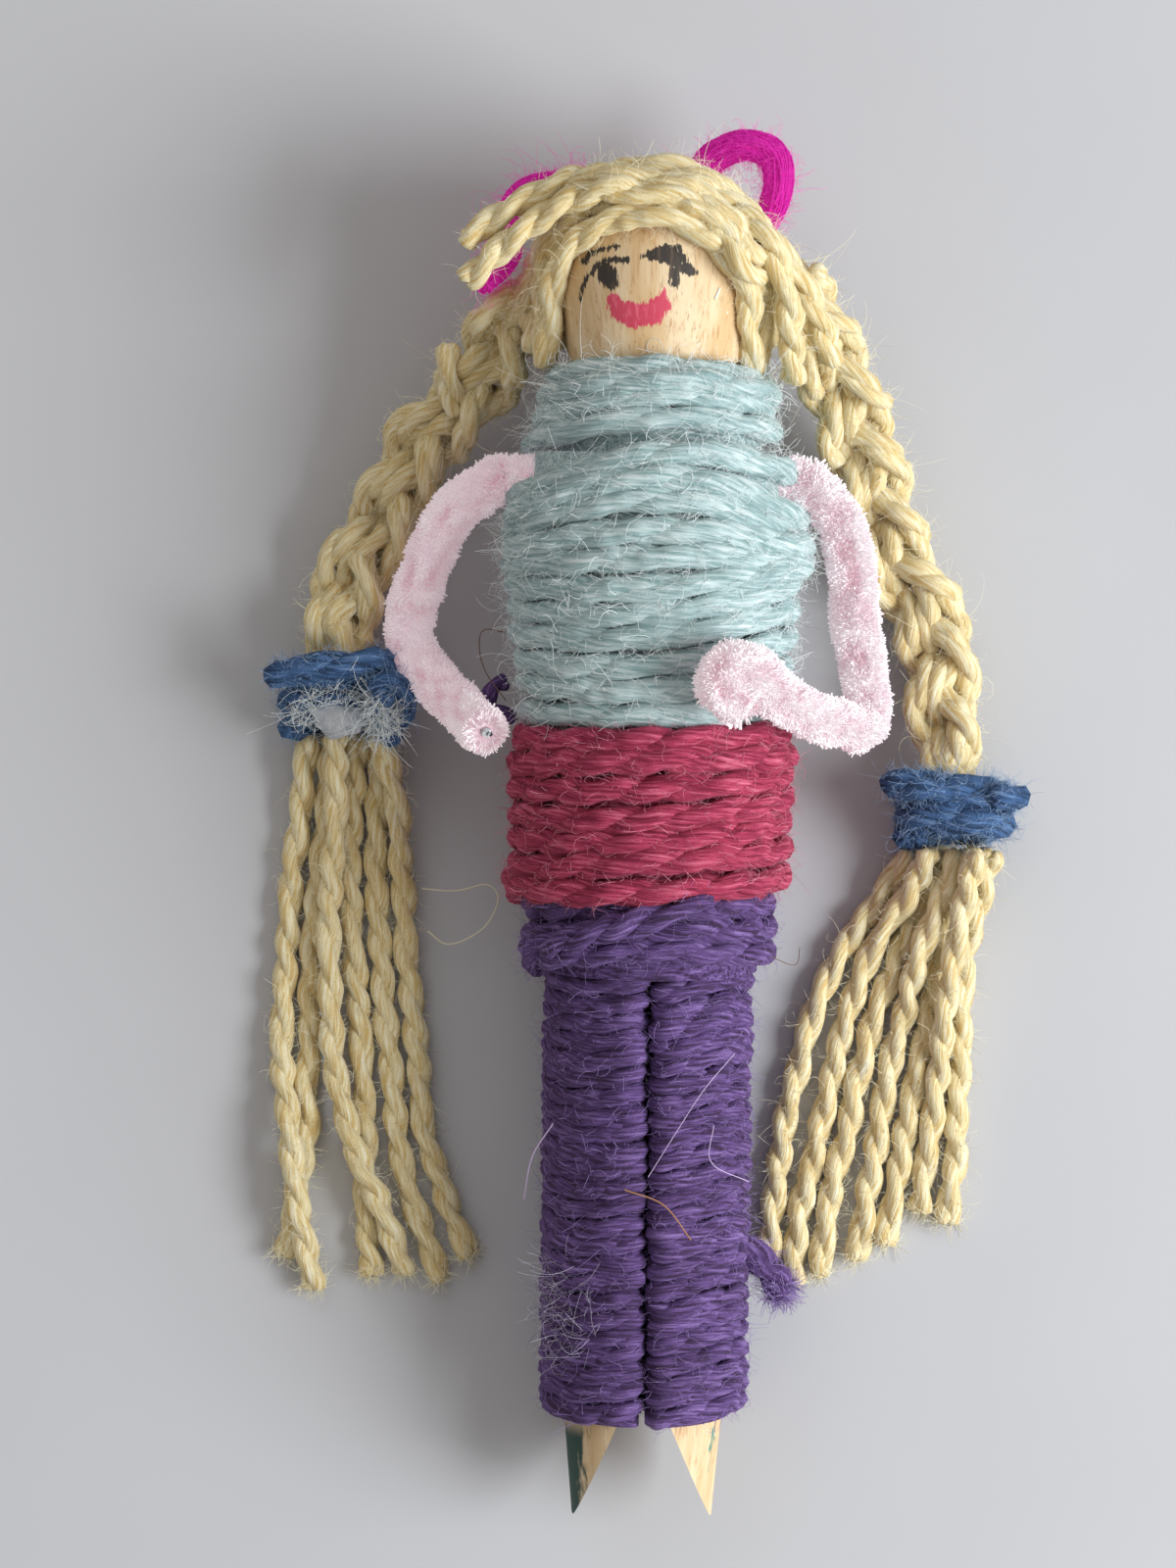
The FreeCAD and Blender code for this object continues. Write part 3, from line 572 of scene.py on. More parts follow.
# Where each strand leaves its tie, down to its cut end, in metres.
TASSELS = {
    "left": [
        [(-0.0277, 0.008, 0.0034), (-0.0282, 0.003, 0.0016), (-0.0291, -0.004, 0.00105),
         (-0.0299, -0.012, 0.00105), (-0.03, -0.02, 0.0014), (-0.0292, -0.0265, 0.0032),
         (-0.0282, -0.0329, 0.0032), (-0.0274, -0.0386, 0.00105)],
        [(-0.0256, 0.008, 0.0034), (-0.0261, 0.003, 0.0015), (-0.0269, -0.004, 0.00105),
         (-0.0276, -0.012, 0.00105), (-0.0278, -0.02, 0.00105), (-0.0279, -0.0265, 0.00105),
         (-0.029, -0.0316, 0.00105), (-0.0299, -0.036, 0.00105)],
        [(-0.0252, 0.008, 0.0056), (-0.0253, 0.003, 0.0036), (-0.0257, -0.0045, 0.00295),
         (-0.0261, -0.0125, 0.003), (-0.0256, -0.0205, 0.0023), (-0.0239, -0.0268, 0.0032),
         (-0.0212, -0.0324, 0.0031), (-0.0197, -0.0374, 0.00105)],
        [(-0.0235, 0.008, 0.0034), (-0.024, 0.003, 0.0015), (-0.0245, -0.004, 0.00105),
         (-0.0239, -0.012, 0.00105), (-0.0232, -0.019, 0.00105), (-0.023, -0.026, 0.00105),
         (-0.0229, -0.032, 0.00105), (-0.0225, -0.0376, 0.00105)],
        [(-0.0214, 0.008, 0.0034), (-0.0219, 0.003, 0.0015), (-0.0222, -0.004, 0.00105),
         (-0.0216, -0.012, 0.00105), (-0.021, -0.019, 0.00105), (-0.0205, -0.025, 0.00105),
         (-0.019, -0.0319, 0.00105), (-0.0167, -0.0379, 0.00105)],
        [(-0.0219, 0.008, 0.0059), (-0.0203, 0.003, 0.0037), (-0.0199, -0.004, 0.0015),
         (-0.0194, -0.012, 0.00105), (-0.0188, -0.019, 0.00105), (-0.0182, -0.025, 0.00105),
         (-0.0165, -0.0308, 0.00105), (-0.0142, -0.036, 0.00105)],
    ],
    "right": [
        [(0.0228, -0.0017, 0.003), (0.0208, -0.005, 0.0014), (0.0172, -0.0092, 0.00105),
         (0.0148, -0.0145, 0.00105), (0.0131, -0.02, 0.00105), (0.0119, -0.026, 0.00105),
         (0.0111, -0.0314, 0.00105), (0.0109, -0.036, 0.00105)],
        [(0.024, -0.0017, 0.0052), (0.0229, -0.0048, 0.0037), (0.0197, -0.0092, 0.0016),
         (0.0175, -0.0145, 0.00105), (0.016, -0.02, 0.00105), (0.0149, -0.026, 0.00105),
         (0.0133, -0.0322, 0.00105), (0.0127, -0.0382, 0.00105)],
        [(0.0254, -0.0017, 0.003), (0.0238, -0.0052, 0.0013), (0.0221, -0.0095, 0.00105),
         (0.0199, -0.0148, 0.00105), (0.0183, -0.0204, 0.00105), (0.0171, -0.026, 0.00105),
         (0.0155, -0.032, 0.00105), (0.0149, -0.0376, 0.00105)],
        [(0.0265, -0.0017, 0.0052), (0.0251, -0.0054, 0.0038), (0.0234, -0.01, 0.0031),
         (0.022, -0.0154, 0.0015), (0.0206, -0.021, 0.00105), (0.0197, -0.0266, 0.00105),
         (0.0189, -0.0318, 0.00105), (0.0179, -0.0363, 0.00105)],
        [(0.0278, -0.0017, 0.003), (0.0261, -0.0052, 0.0013), (0.0247, -0.0096, 0.00105),
         (0.02435, -0.0152, 0.00105), (0.0229, -0.021, 0.00105), (0.0219, -0.0268, 0.00105),
         (0.0211, -0.0314, 0.00105), (0.0203, -0.035, 0.00105)],
        [(0.0276, -0.0017, 0.0072), (0.0268, -0.0054, 0.0056), (0.0259, -0.0102, 0.0033),
         (0.0253, -0.0154, 0.003), (0.0248, -0.0208, 0.0021), (0.0241, -0.0266, 0.00105),
         (0.0233, -0.0322, 0.00105)],
        [(0.0291, -0.0017, 0.0051), (0.0285, -0.0054, 0.0029), (0.0272, -0.0102, 0.00105),
         (0.0268, -0.0156, 0.00105), (0.0267, -0.0212, 0.00105), (0.0264, -0.0273, 0.00105),
         (0.0256, -0.0333, 0.00105)],
    ],
}


def spline_line(name, points):
    """The smooth line that a loose strand follows, in metres."""
    curve = bpy.data.curves.new(name, "CURVE")
    curve.dimensions = "3D"
    curve.resolution_u = 16
    spline = curve.splines.new("NURBS")
    spline.points.add(len(points) - 1)
    for point, place in zip(spline.points, points):
        point.co = (*place, 1.0)
    spline.order_u = 3
    spline.use_endpoint_u = True
    holder = bpy.data.objects.new(name, curve)
    line = bpy.data.meshes.new_from_object(holder)
    places = [tuple(vertex.co) for vertex in line.vertices]
    bpy.data.objects.remove(holder)
    bpy.data.curves.remove(curve)
    bpy.data.meshes.remove(line)
    return places


def make_tassels():
    for side, strands in TASSELS.items():
        everything = []
        for number, points in enumerate(strands, start=1):
            name = f"{side}_tassel_strand_{number}"
            path = spline_line(name + "_line", points)
            line = evenly(np.array(path) / MM, STEP)
            line[:, 0] += wander(len(line), 12, 0.14)
            line[:, 1] += wander(len(line), 12, 0.10)
            part = yarn(line, HAIR_RADIUS)
            kept_above(part["points"], 0.03)
            everything.append(part)
            piece = show(f"{name}_yarn", part, HAIR, f"{side}_braid", [name])
        stray = [fuzz(joined(everything), 2600, 1.6, lift=0.7)]
        for part in everything:
            stray.append(fuzz(part, 90, 1.3, 0.03, 0.5, 0.2, cut_end_of(part, 20)))
        loose = show(f"{side}_tassel_fuzz", joined(stray), HAIR_FIBRE, f"{side}_braid")


make_tassels()


# ---- the peg's own frame

LEAN = math.radians(-0.7)
TILT = math.radians(4.4)
AXIS_FOOT = np.array([0.67, 0.0, 11.58])
ROLL = np.array([
    [math.cos(LEAN), -math.sin(LEAN) * math.cos(TILT), math.sin(LEAN) * math.sin(TILT)],
    [math.sin(LEAN), math.cos(LEAN) * math.cos(TILT), -math.cos(LEAN) * math.sin(TILT)],
    [0, math.sin(TILT), math.cos(TILT)],
])


def from_peg(points):
    """From the peg's frame, whose Y is the peg's axis, to the CAD's frame."""
    return np.asarray(points, float) @ ROLL.T + AXIS_FOOT


HEAD_UP = 44.3
HEAD = from_peg([0, HEAD_UP, 0])


def height_on_peg(y, z):
    """How far up the peg a place is that looks to be at height y in the view, z above the axis."""
    above = AXIS_FOOT[2] + z + y * math.sin(TILT)
    return (seen(0, y, above)[1] + z * math.sin(TILT)) / math.cos(TILT)


# ---- wound clothes

# The points in one turn of a winding.
TURN_STEPS = 240


def turn_heights(keys, outer):
    """Heights along a winding. Each turn runs from the left over the front to the right and back."""
    across = -np.cos(np.linspace(0, math.pi, TURN_STEPS // 2, endpoint=False))
    heights = []
    for number, (left, front, right) in enumerate(keys):
        after = keys[number + 1][0] if number + 1 < len(keys) else right - 1.6
        left = height_on_peg(left, 0)
        front = height_on_peg(front, outer)
        right = height_on_peg(right, 0)
        after = height_on_peg(after, 0)
        heights.append(front + (right - left) / 2 * across
                       + ((right + left) / 2 - front) * across**2)
        heights.append(right + (after - right) / 2 * (1 + across))
    return np.concatenate(heights)


def winding(keys, radius_at, thick, pitch=14.0, merge=0.24):
    """One length of yarn wound round and round the peg."""
    y = turn_heights(keys, 10.0)
    quarters = np.arange(len(y)) / TURN_STEPS * 4
    between = np.abs(y[TURN_STEPS:] - y[:-TURN_STEPS])
    gap = np.full(len(y), thick)
    gap[TURN_STEPS:] = np.minimum(gap[TURN_STEPS:], between)
    gap[:-TURN_STEPS] = np.minimum(gap[:-TURN_STEPS], between)
    # Where turns are crowded, every second one rides up on its neighbours.
    share = np.where((quarters // 4).astype(int) % 2 == 1, 1.0, 0.12)
    lift = share * np.clip(1 - gap / (0.88 * thick), 0, 1) * thick * 0.75
    lift = np.convolve(np.pad(lift, 12, "edge"), np.ones(25) / 25, "valid")
    angle = quarters * math.pi / 2
    reach = radius_at(y) + lift + wander(len(y), len(keys) * 8, 0.12)
    y = y + wander(len(y), len(keys) * 8, 0.10)
    points = from_peg(np.stack([-reach * np.cos(angle), y, reach * np.sin(angle)], 1))
    part = yarn(kept_above(points, thick * 0.5), thick / 2, pitch, merge, lumps=0.1, sides=9)
    kept_above(part["points"], 0.02)
    return part


def no_fuzz(part):
    """The same mesh with the directions that fuzz needs, so that it can be joined to yarn."""
    part["out"] = np.zeros_like(part["points"])
    part["forward"] = np.zeros_like(part["points"])
    return part


def sleeve(low, high, radius_at):
    """The hidden inside of a winding, so that nothing shows through it."""
    heights = np.linspace(low, high, 24)[:, None]
    angle = np.linspace(0, TURN, 72, endpoint=False)
    reach = radius_at(heights)
    rings = np.stack([reach * np.cos(angle), heights + 0 * angle, reach * np.sin(angle)], -1)
    return no_fuzz(rings_mesh(kept_above(from_peg(rings), 0.3)))


# Each winding's turns, from the top: the heights at the left, in front and at the right, as seen.
NECK = [(36.6, 37.5, 36.3), (34.9, 36.5, 35.3), (33.3, 35.2, 34.1), (31.6, 33.3, 32.4)]
CHEST = [
    (26.7, 30.4, 29.1), (25.3, 28.7, 25.3), (24.0, 26.8, 23.9), (22.6, 24.3, 23.2),
    (21.3, 22.1, 22.4), (19.7, 19.7, 21.6), (17.8, 17.6, 20.2), (15.9, 15.7, 18.1),
    (13.8, 13.4, 15.7), (11.9, 11.4, 13.3), (9.5, 9.2, 10.0),
]
BELT = [
    (7.4, 7.2, 8.0), (5.2, 5.8, 6.3), (3.4, 3.4, 4.6), (1.2, 0.9, 2.8), (-0.7, -0.9, 0.9),
    (-2.8, -2.5, -1.2), (-4.4, -5.0, -3.5),
]
HIPS = [(-6.2, -6.2, -5.9), (-8.4, -8.2, -7.6), (-10.1, -9.9, -9.6)]


def even(radius):
    """A radius that is the same at every height."""
    return lambda y: np.full_like(y, radius)


def chest_radius(y):
    return np.clip(10.95 - 0.0085 * (y - 22.5) ** 2, 9.0, 11.0)


def neck_radius(y):
    return np.clip(7.6 + 0.3 * (37.6 - y), 7.6, 9.1)


def make_shirt():
    neck = winding(NECK, neck_radius, 2.1)
    chest = winding(CHEST, chest_radius, 2.25)
    inside = [sleeve(8.3, 30.5, lambda y: chest_radius(y) - 0.75),
              sleeve(30.0, 37.5, lambda y: neck_radius(y) - 0.6)]
    shirt = joined([neck, chest])
    show("shirt", joined([shirt, *inside]), AQUA, instead_of=["shirt_yarn"])
    stray = fuzz(shirt, 8000, 1.8, 0.022, 0.15, 0.3, segments=4)
    show("shirt_fuzz", stray, WHITE_FIBRE)
    above = shirt["points"][:, 1] > 34.5
    curls = joined([fuzz(shirt, 4300, 2.6, 0.030, 0.7, 0.75),
                    fuzz(shirt, 150, 6.0, 0.028, 0.9, 0.9, above, segments=12)])
    show("shirt_curls", curls, WHITE_FIBRE)


def make_belt():
    belt = winding(BELT, even(10.4), 2.3, 10.0, 0.3)
    whole = joined([belt, sleeve(-5.6, 8.0, even(9.8))])
    show("belt", whole, RASPBERRY, instead_of=["belt_yarn"])
    stray = two_fuzzes(belt, (4500, 1.3, 0.020, 0.3, 0.4), (900, 2.2, 0.024, 0.8, 0.8))
    show("belt_fuzz", stray, RASPBERRY_FIBRE)


def make_hips():
    hips = winding(HIPS, even(9.35), 2.1, 9.0, 0.32)
    across = yarn(through(from_peg([
        (-9.6, -9.6, 1.5), (-8.6, -9.0, 5.8), (-5.0, -7.6, 9.6), (0.0, -5.9, 10.8), (5.0, -5.0, 9.9)
    ])), 1.05)
    whole = joined([hips, across, sleeve(-11.3, -5.6, even(8.8))])
    show("hip_winding", whole, PURPLE, instead_of=["hip_yarn"])
    stray = fuzz(joined([hips, across]), 1900, 1.5, 0.020)
    show("hip_fuzz", stray, PURPLE_FIBRE)


LEG_TURNS = 24
LEG_PITCH = 1.5
LEG_TOP = -11.6
LEG_REACH = 7.75


def leg_outline(side, inset=0.0):
    """Where yarn runs round one leg, seen along the leg: round outside, nearly flat inside."""
    reach = LEG_REACH - inset
    flat = 0.85 - inset
    turn = math.acos(flat / reach)
    angle = np.linspace(-turn, turn, 90)
    arc = np.stack([reach * np.cos(angle), 0 * angle, reach * np.sin(angle)], 1)
    ring = evenly(np.vstack([arc, arc[:1]]), 0.35)[:-1]
    for _ in range(2):
        ring = (np.roll(ring, 2, axis=0) + np.roll(ring, 1, axis=0) + ring
                + np.roll(ring, -1, axis=0) + np.roll(ring, -2, axis=0)) / 5
    if side > 0:
        ring = ring[::-1]
    ring[:, 0] *= side
    start = np.argmin(ring[:, 0] + 0.2 * np.abs(ring[:, 2]))
    return np.roll(ring, -start, axis=0)


def make_leg(name, side):
    ring = leg_outline(side)
    steps = len(ring)
    whole = np.tile(ring, (LEG_TURNS, 1))
    count = len(whole)
    middle = ring[:, 0].mean()
    fall = LEG_PITCH * np.arange(count) / steps
    slope = 0.27 + wander(count, LEG_TURNS, 0.05)
    whole[:, 1] = LEG_TOP - fall + slope * (whole[:, 0] - middle) * whole[:, 2] / LEG_REACH
    whole[:, 1] += wander(count, LEG_TURNS * 3, 0.16)
    swell = 1 + wander(count, LEG_TURNS * 3, 0.022)
    whole[:, 0] = middle + (whole[:, 0] - middle) * swell
    whole[:, 2] *= swell
    part = yarn(kept_above(from_peg(whole), 0.85), 0.9, 9.0, 0.24, lumps=0.18)
    kept_above(part["points"], 0.02)
    rings = np.repeat(leg_outline(side, 0.45)[None], 30, axis=0)
    rings[..., 1] = np.linspace(LEG_TOP, LEG_TOP - LEG_PITCH * LEG_TURNS, 30)[:, None]
    core = rings_mesh(kept_above(from_peg(rings), 0.3))
    if side < 0:
        core["faces"] = core["faces"][:, ::-1]
    whole = joined([part, no_fuzz(core)])
    show(name, whole, PURPLE, instead_of=[name + "_yarn"])
    stray = two_fuzzes(part, (5500, 1.4, 0.020, 0.35, 0.4), (700, 2.2, 0.022, 0.8, 0.8))
    show(name + "_fuzz", stray, PURPLE_FIBRE)
    return part


make_shirt()
make_belt()
make_hips()
LEFT_LEG = make_leg("left_leg", -1)
make_leg("right_leg", 1)


# ---- the peg and its face

HEAD_RADIUS = 8.12
CHEEK_BELOW = 1.3
CHIN_BELOW = 6.6
CHIN_RADIUS = 7.12
FACE_TOP = 7.6
FACE_HALF_ANGLE = 1.5
FACE_GRID = (150, 260)

# Pen strokes in millimetres, each point with its half width. They are centred a little above the
# middle of the knob.
DRAWN_ABOVE = 0.7
PEN = [
    [(-5.9, 0.1, 0.24), (-5.5, 0.6, 0.22), (-4.5, 0.95, 0.22), (-3.2, 1.1, 0.16)],
    [(-6.2, -2.9, 0.08), (-6.1, -2.0, 0.14), (-5.7, -1.3, 0.17), (-5.1, -0.6, 0.18),
     (-4.5, -0.1, 0.2), (-3.5, 0.05, 0.2), (-2.5, -0.1, 0.22)],
    [(-4.3, -0.6, 0.55), (-4.1, -1.2, 0.72), (-3.8, -1.9, 0.5)],
    [(-1.3, 0.15, 0.16), (-0.4, 0.5, 0.3), (0.6, 0.7, 0.5), (1.3, 0.6, 0.55)],
    [(-0.5, 0.1, 0.3), (0.6, 0.1, 0.5), (1.6, 0.0, 0.5)],
    [(0.8, -0.2, 0.4), (1.7, -0.7, 0.45), (2.7, -1.0, 0.32)],
    [(1.1, -1.0, 0.45), (1.2, -1.9, 0.38)],
]
MOUTH = [
    [(-3.7, -3.0, 0.42), (-3.2, -3.9, 0.74), (-1.9, -4.4, 0.92), (-0.7, -4.3, 0.92),
     (0.1, -3.6, 0.74), (0.4, -2.8, 0.4)],
]


def far_from(strokes, x, y):
    """How far outside the nearest stroke each place is; negative inside it."""
    nearest = np.full(x.shape, 9.0)
    for stroke in strokes:
        for (ax, ay, ar), (bx, by, br) in zip(stroke, stroke[1:]):
            run = np.array([bx - ax, by - ay])
            share = ((x - ax) * run[0] + (y - ay) * run[1]) / (run @ run)
            share = np.clip(share, 0, 1)
            away = np.hypot(x - ax - share * run[0], y - ay - share * run[1])
            nearest = np.minimum(nearest, away - (ar + share * (br - ar)))
    return nearest


def knob_radius(above):
    """The knob's radius at a height above its middle: a ball that goes on down as a blunt cone."""
    ball = np.sqrt(np.maximum(HEAD_RADIUS**2 - above**2, 0))
    cheek = math.sqrt(HEAD_RADIUS**2 - CHEEK_BELOW**2)
    cone = cheek - (cheek - CHIN_RADIUS) * (-CHEEK_BELOW - above) / (CHIN_BELOW - CHEEK_BELOW)
    return np.where(above < -CHEEK_BELOW, cone, ball)


def make_face():
    """A thin skin over the front of the head knob that carries the drawing."""
    above = np.linspace(-CHIN_BELOW, FACE_TOP, FACE_GRID[0])[:, None]
    angle = np.linspace(-FACE_HALF_ANGLE, FACE_HALF_ANGLE, FACE_GRID[1])[None]
    reach = knob_radius(above)
    places = np.stack([reach * np.sin(angle), HEAD_UP + above + 0 * angle, reach * np.cos(angle)], -1)
    places = from_peg(places.reshape(-1, 3))
    number = np.arange(len(places)).reshape(FACE_GRID)
    faces = np.stack([number[:-1, :-1], number[:-1, 1:], number[1:, 1:], number[1:, :-1]], -1)
    x, y = (places - HEAD)[:, :2].T
    drawn = y - DRAWN_ABOVE
    ink = [far_from(MOUTH, x, drawn), far_from(PEN, x, drawn), 0 * x]
    part = {"points": places, "faces": faces.reshape(-1, 4), "ink": np.stack(ink, -1)}
    show("drawn_face", part, face_material())


def dress(node, material):
    """Gives a CAD node that stays in view its material."""
    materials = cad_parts[node].data.materials
    materials.clear()
    materials.append(material)


dress("wooden_peg", peg_material())
make_face()


# ---- hair over the head

# The middle of each braid, from its root on the head to its tie.
BRAIDS = {
    "left": [
        (-10.4, 41.6, 11.4), (-13.2, 36.4, 8.2), (-18.0, 31.4, 5.2), (-20.8, 26.0, 3.8),
        (-24.0, 20.2, 3.6), (-24.9, 15.0, 4.3), (-24.9, 10.7, 4.7),
    ],
    "right": [
        (12.6, 43.4, 12.4), (16.0, 37.4, 9.0), (18.9, 29.6, 5.2), (21.4, 22.2, 3.7),
        (24.6, 16.2, 3.5), (25.3, 10.2, 3.8), (25.8, 5.6, 4.4), (25.9, 1.5, 4.7),
    ],
}
FACE_LEAN = math.radians(35.3)
TO_FACE = unit(np.array([-0.14, -math.sin(FACE_LEAN), math.cos(FACE_LEAN)]))
TO_CROWN = unit(np.cross(TO_FACE, [1.0, 0, 0]))
TO_RIGHT = np.cross(TO_CROWN, TO_FACE)
LEFT_ROOT = np.array(BRAIDS["left"][0])
RIGHT_ROOT = np.array(BRAIDS["right"][0])
LEFT_NECK = np.array([-8.0, 37.0, 16.0])
RIGHT_NECK = np.array([8.7, 36.4, 16.4])
CAP_RADIUS = 8.25


def fringe_strand(open_angle, reach, root_share):
    """A strand round the face, whose ends hang beside it or go on into the braids."""
    ring = math.radians(open_angle)
    around = spun(np.radians(np.linspace(188, -8, 16)), TO_RIGHT, TO_CROWN)
    arc = HEAD + reach * (math.cos(ring) * TO_FACE + math.sin(ring) * around)
    left = LEFT_NECK + (LEFT_ROOT - LEFT_NECK) * root_share
    right = RIGHT_NECK + (RIGHT_ROOT - RIGHT_NECK) * root_share
    return through(np.vstack([left, arc, right]))


def side_to_side(lift, reach):
    """A strand over the head from one braid's root to the other's."""
    share = np.linspace(0.07, 0.93, 15)[:, None]
    over = np.array([0, math.cos(math.radians(lift)), math.sin(math.radians(lift))])
    arc = HEAD + reach * (
        -np.cos(share * math.pi) * np.array([1.0, 0, 0]) + np.sin(share * math.pi) * over
    )
    pull = np.clip(np.abs(share - 0.5) * 2 - 0.62, 0, 1) / 0.38
    root = np.where(share < 0.5, LEFT_ROOT, RIGHT_ROOT)
    arc = arc + (root - arc) * (pull ** 1.5) * 0.7
    spread = random.normal(0, 0.5, (2, 3))
    return through(np.vstack([LEFT_ROOT + spread[0], arc, RIGHT_ROOT + spread[1]]))


def on_hair(x, y, reach):
    """The place on the front of the hair that looks to be at (x, y)."""
    z = HEAD[2]
    for _ in range(6):
        flat = np.array(seen(x, y, z))[:2] - HEAD[:2]
        z = HEAD[2] + math.sqrt(max(reach**2 - flat @ flat, 0))
    return np.array(seen(x, y, z))


# Where the two strands that end in the left fringe go on over the head, as seen.
COMBED_OVER = {
    "left_fringe_upper": [(-0.1, 52.5), (3.9, 51.8), (7.0, 49.4), (9.2, 46.2)],
    "left_fringe_lower": [(0.2, 51.4), (4.0, 50.6), (7.0, 48.2), (8.6, 45.0)],
}

# Loose ends beside the face.
LOOSE_HAIR = {
    "left_fringe_upper": [(-3.0, 51.7, 20.8), (-6.1, 51.2, 20.6), (-10.4, 49.3, 20.2), (-14.4, 46.6, 19.0)],
    "left_fringe_lower": [(-3.4, 50.3, 22.2), (-6.6, 49.2, 21.6), (-10.4, 46.7, 20.4), (-14.2, 43.5, 18.4)],
    "right_side_inner": [(6.2, 48.8, 20.2), (9.3, 47.3, 21.9), (11.1, 43.1, 20.6), (11.8, 39.0, 18.6),
                         (12.0, 35.6, 17.2)],
    "right_side_outer": [(8.1, 47.8, 18.6), (11.4, 45.2, 19.2), (13.9, 41.0, 17.4), (15.3, 37.2, 15.6)],
}


def make_hair():
    strands = []
    for open_angle, reach, root_share in ((61, 9.15, 0.0), (74, 9.3, 0.0), (87, 9.4, 0.3)):
        strands.append(fringe_strand(open_angle, reach, root_share))
    for number in range(11):
        strands.append(side_to_side(30 - 14 * number, 9.0 + random.uniform(-0.1, 0.15)))
    for number in range(5):
        strands.append(side_to_side(-52 - 18 * number, 10.0 + random.uniform(-0.1, 0.2)))
    parts = [yarn(line + wander(len(line), 6, 0.15)[:, None], HAIR_RADIUS, 9.0, 0.34)
             for line in strands]
    for node, over in COMBED_OVER.items():
        start = np.array(LOOSE_HAIR[node][1]) + [0, 0, 0.15]
        lift = np.array(LOOSE_HAIR[node][0]) + [0, 0, 0.75]
        line = through([start, lift, *(on_hair(x, y, 10.0) for x, y in over), RIGHT_ROOT])
        parts.append(yarn(line, HAIR_RADIUS * 1.04, 9.0, 0.34, grow=5.0))
    over_head = joined(parts)
    for node, points in LOOSE_HAIR.items():
        part = yarn(through(points), HAIR_RADIUS * 1.05)
        show(node + "_lock", part, HAIR, instead_of=[node])
        parts.append(part)
    lean = np.linspace(math.radians(66), math.radians(179.9), 40)[:, None]
    angle = np.linspace(0, TURN, 90, endpoint=False)[None]
    cap = rings_mesh(HEAD + CAP_RADIUS * spun(lean, TO_FACE, spun(angle, TO_RIGHT, TO_CROWN)))
    show("hair_over_head", joined([over_head, no_fuzz(cap)]), HAIR,
         instead_of=[f"hair_strand_{number}" for number in range(1, 8)])
    stray = two_fuzzes(joined(parts), (6500, 1.6, 0.020), (500, 4.0, 0.022, 1.0))
    show("hair_fuzz", stray, HAIR_FIBRE)


make_hair()


# ---- braids and ties

PLAIT_PITCH = 18.0
PLAIT_WIDTH = 1.85
PLAIT_DEPTH = 1.25


def make_braid(side):
    points = np.array(BRAIDS[side])
    before = points[0] - unit(points[1] - points[0]) * 2.0 + [0, 0, 0.6]
    line = through(np.vstack([before, points]))
    steps = len(line)
    forward = unit(np.gradient(line, axis=0))
    sideways = unit(np.cross(forward, [0, 0, 1.0]))
    upward = np.cross(sideways, forward)
    along = np.arange(steps) * STEP
    close = np.clip((along[-1] - along) / 7.0, 0.45, 1) * np.clip(0.55 + along / 8, 0, 1)
    parts = []
    for number in range(3):
        turn = TURN * (along / PLAIT_PITCH + number / 3)
        middle = line + (PLAIT_WIDTH * close * np.sin(turn))[:, None] * sideways
        middle += (PLAIT_DEPTH * close * np.sin(2 * turn))[:, None] * upward
        roll = along * 0.16 + number
        for share in (-1, 1):
            off = 0.85 * share * spun(roll, sideways, upward)
            strand = middle + off + wander(steps, steps / 12, 0.15)[:, None]
            parts.append(yarn(kept_above(strand, 0.95), HAIR_RADIUS * 1.03, 8.5, 0.36, 0.17))
    if side == "left":
        parts.append(yarn(through([(-15.2, 34.0, 8.6), (-15.7, 36.8, 10.4), (-15.8, 39.6, 10.9)]), 1.05))
    whole = joined(parts)
    plait = new_piece(side + "_braid_plait", whole, HAIR)
    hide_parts(*[f"{side}_braid_bundle_{number}" for number in (1, 2, 3)])
    stray = two_fuzzes(whole, (3000, 1.5, 0.020, 0.6), (350, 3.6, 0.022, 1.0))
    stray = new_piece(side + "_braid_fuzz", stray, HAIR_FIBRE)
    for piece in (plait, stray):
        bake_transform(piece)


def make_tie(side, half_width, half_height, tails):
    """Thick blue yarn twice round the end of a braid, with its cut tails.

    Each tail is its thickness and a route of distances to the left, down the braid and up.
    """
    points = np.array(BRAIDS[side])
    centre = points[-1]
    forward = unit((points[-1] - points[-2]) * [1, 1, 0])
    sideways = np.array([forward[1], -forward[0], 0])
    angle = np.linspace(0, 2 * TURN, 80)
    step = 2.1 * (angle / TURN - 1)
    oval = (
        centre + step[:, None] * forward
        + (half_width * np.sign(np.cos(angle)) * np.abs(np.cos(angle)) ** 0.8)[:, None] * sideways
        + (half_height * np.sin(angle))[:, None] * np.array([0, 0, 1.0])
    )
    parts = [yarn(kept_above(oval, 1.2), 1.5, 9.0, 0.3, 0.16)]
    for thick, tail in tails:
        route = [centre + a * sideways + f * forward + [0, 0, up] for a, f, up in tail]
        parts.append(yarn(through(route), thick, 9.0, 0.3, 0.16))
    whole = joined(parts)
    kept_above(whole["points"], 0.03)
    show(side + "_tie_yarn", whole, BLUE, side + "_braid", [side + "_tie"])
    stray = two_fuzzes(whole, (3000, 1.2, 0.024, 0.6), (200, 3.0, 0.02, 1.0))
    show(side + "_tie_fuzz", stray, BLUE_FIBRE, side + "_braid")
    return whole


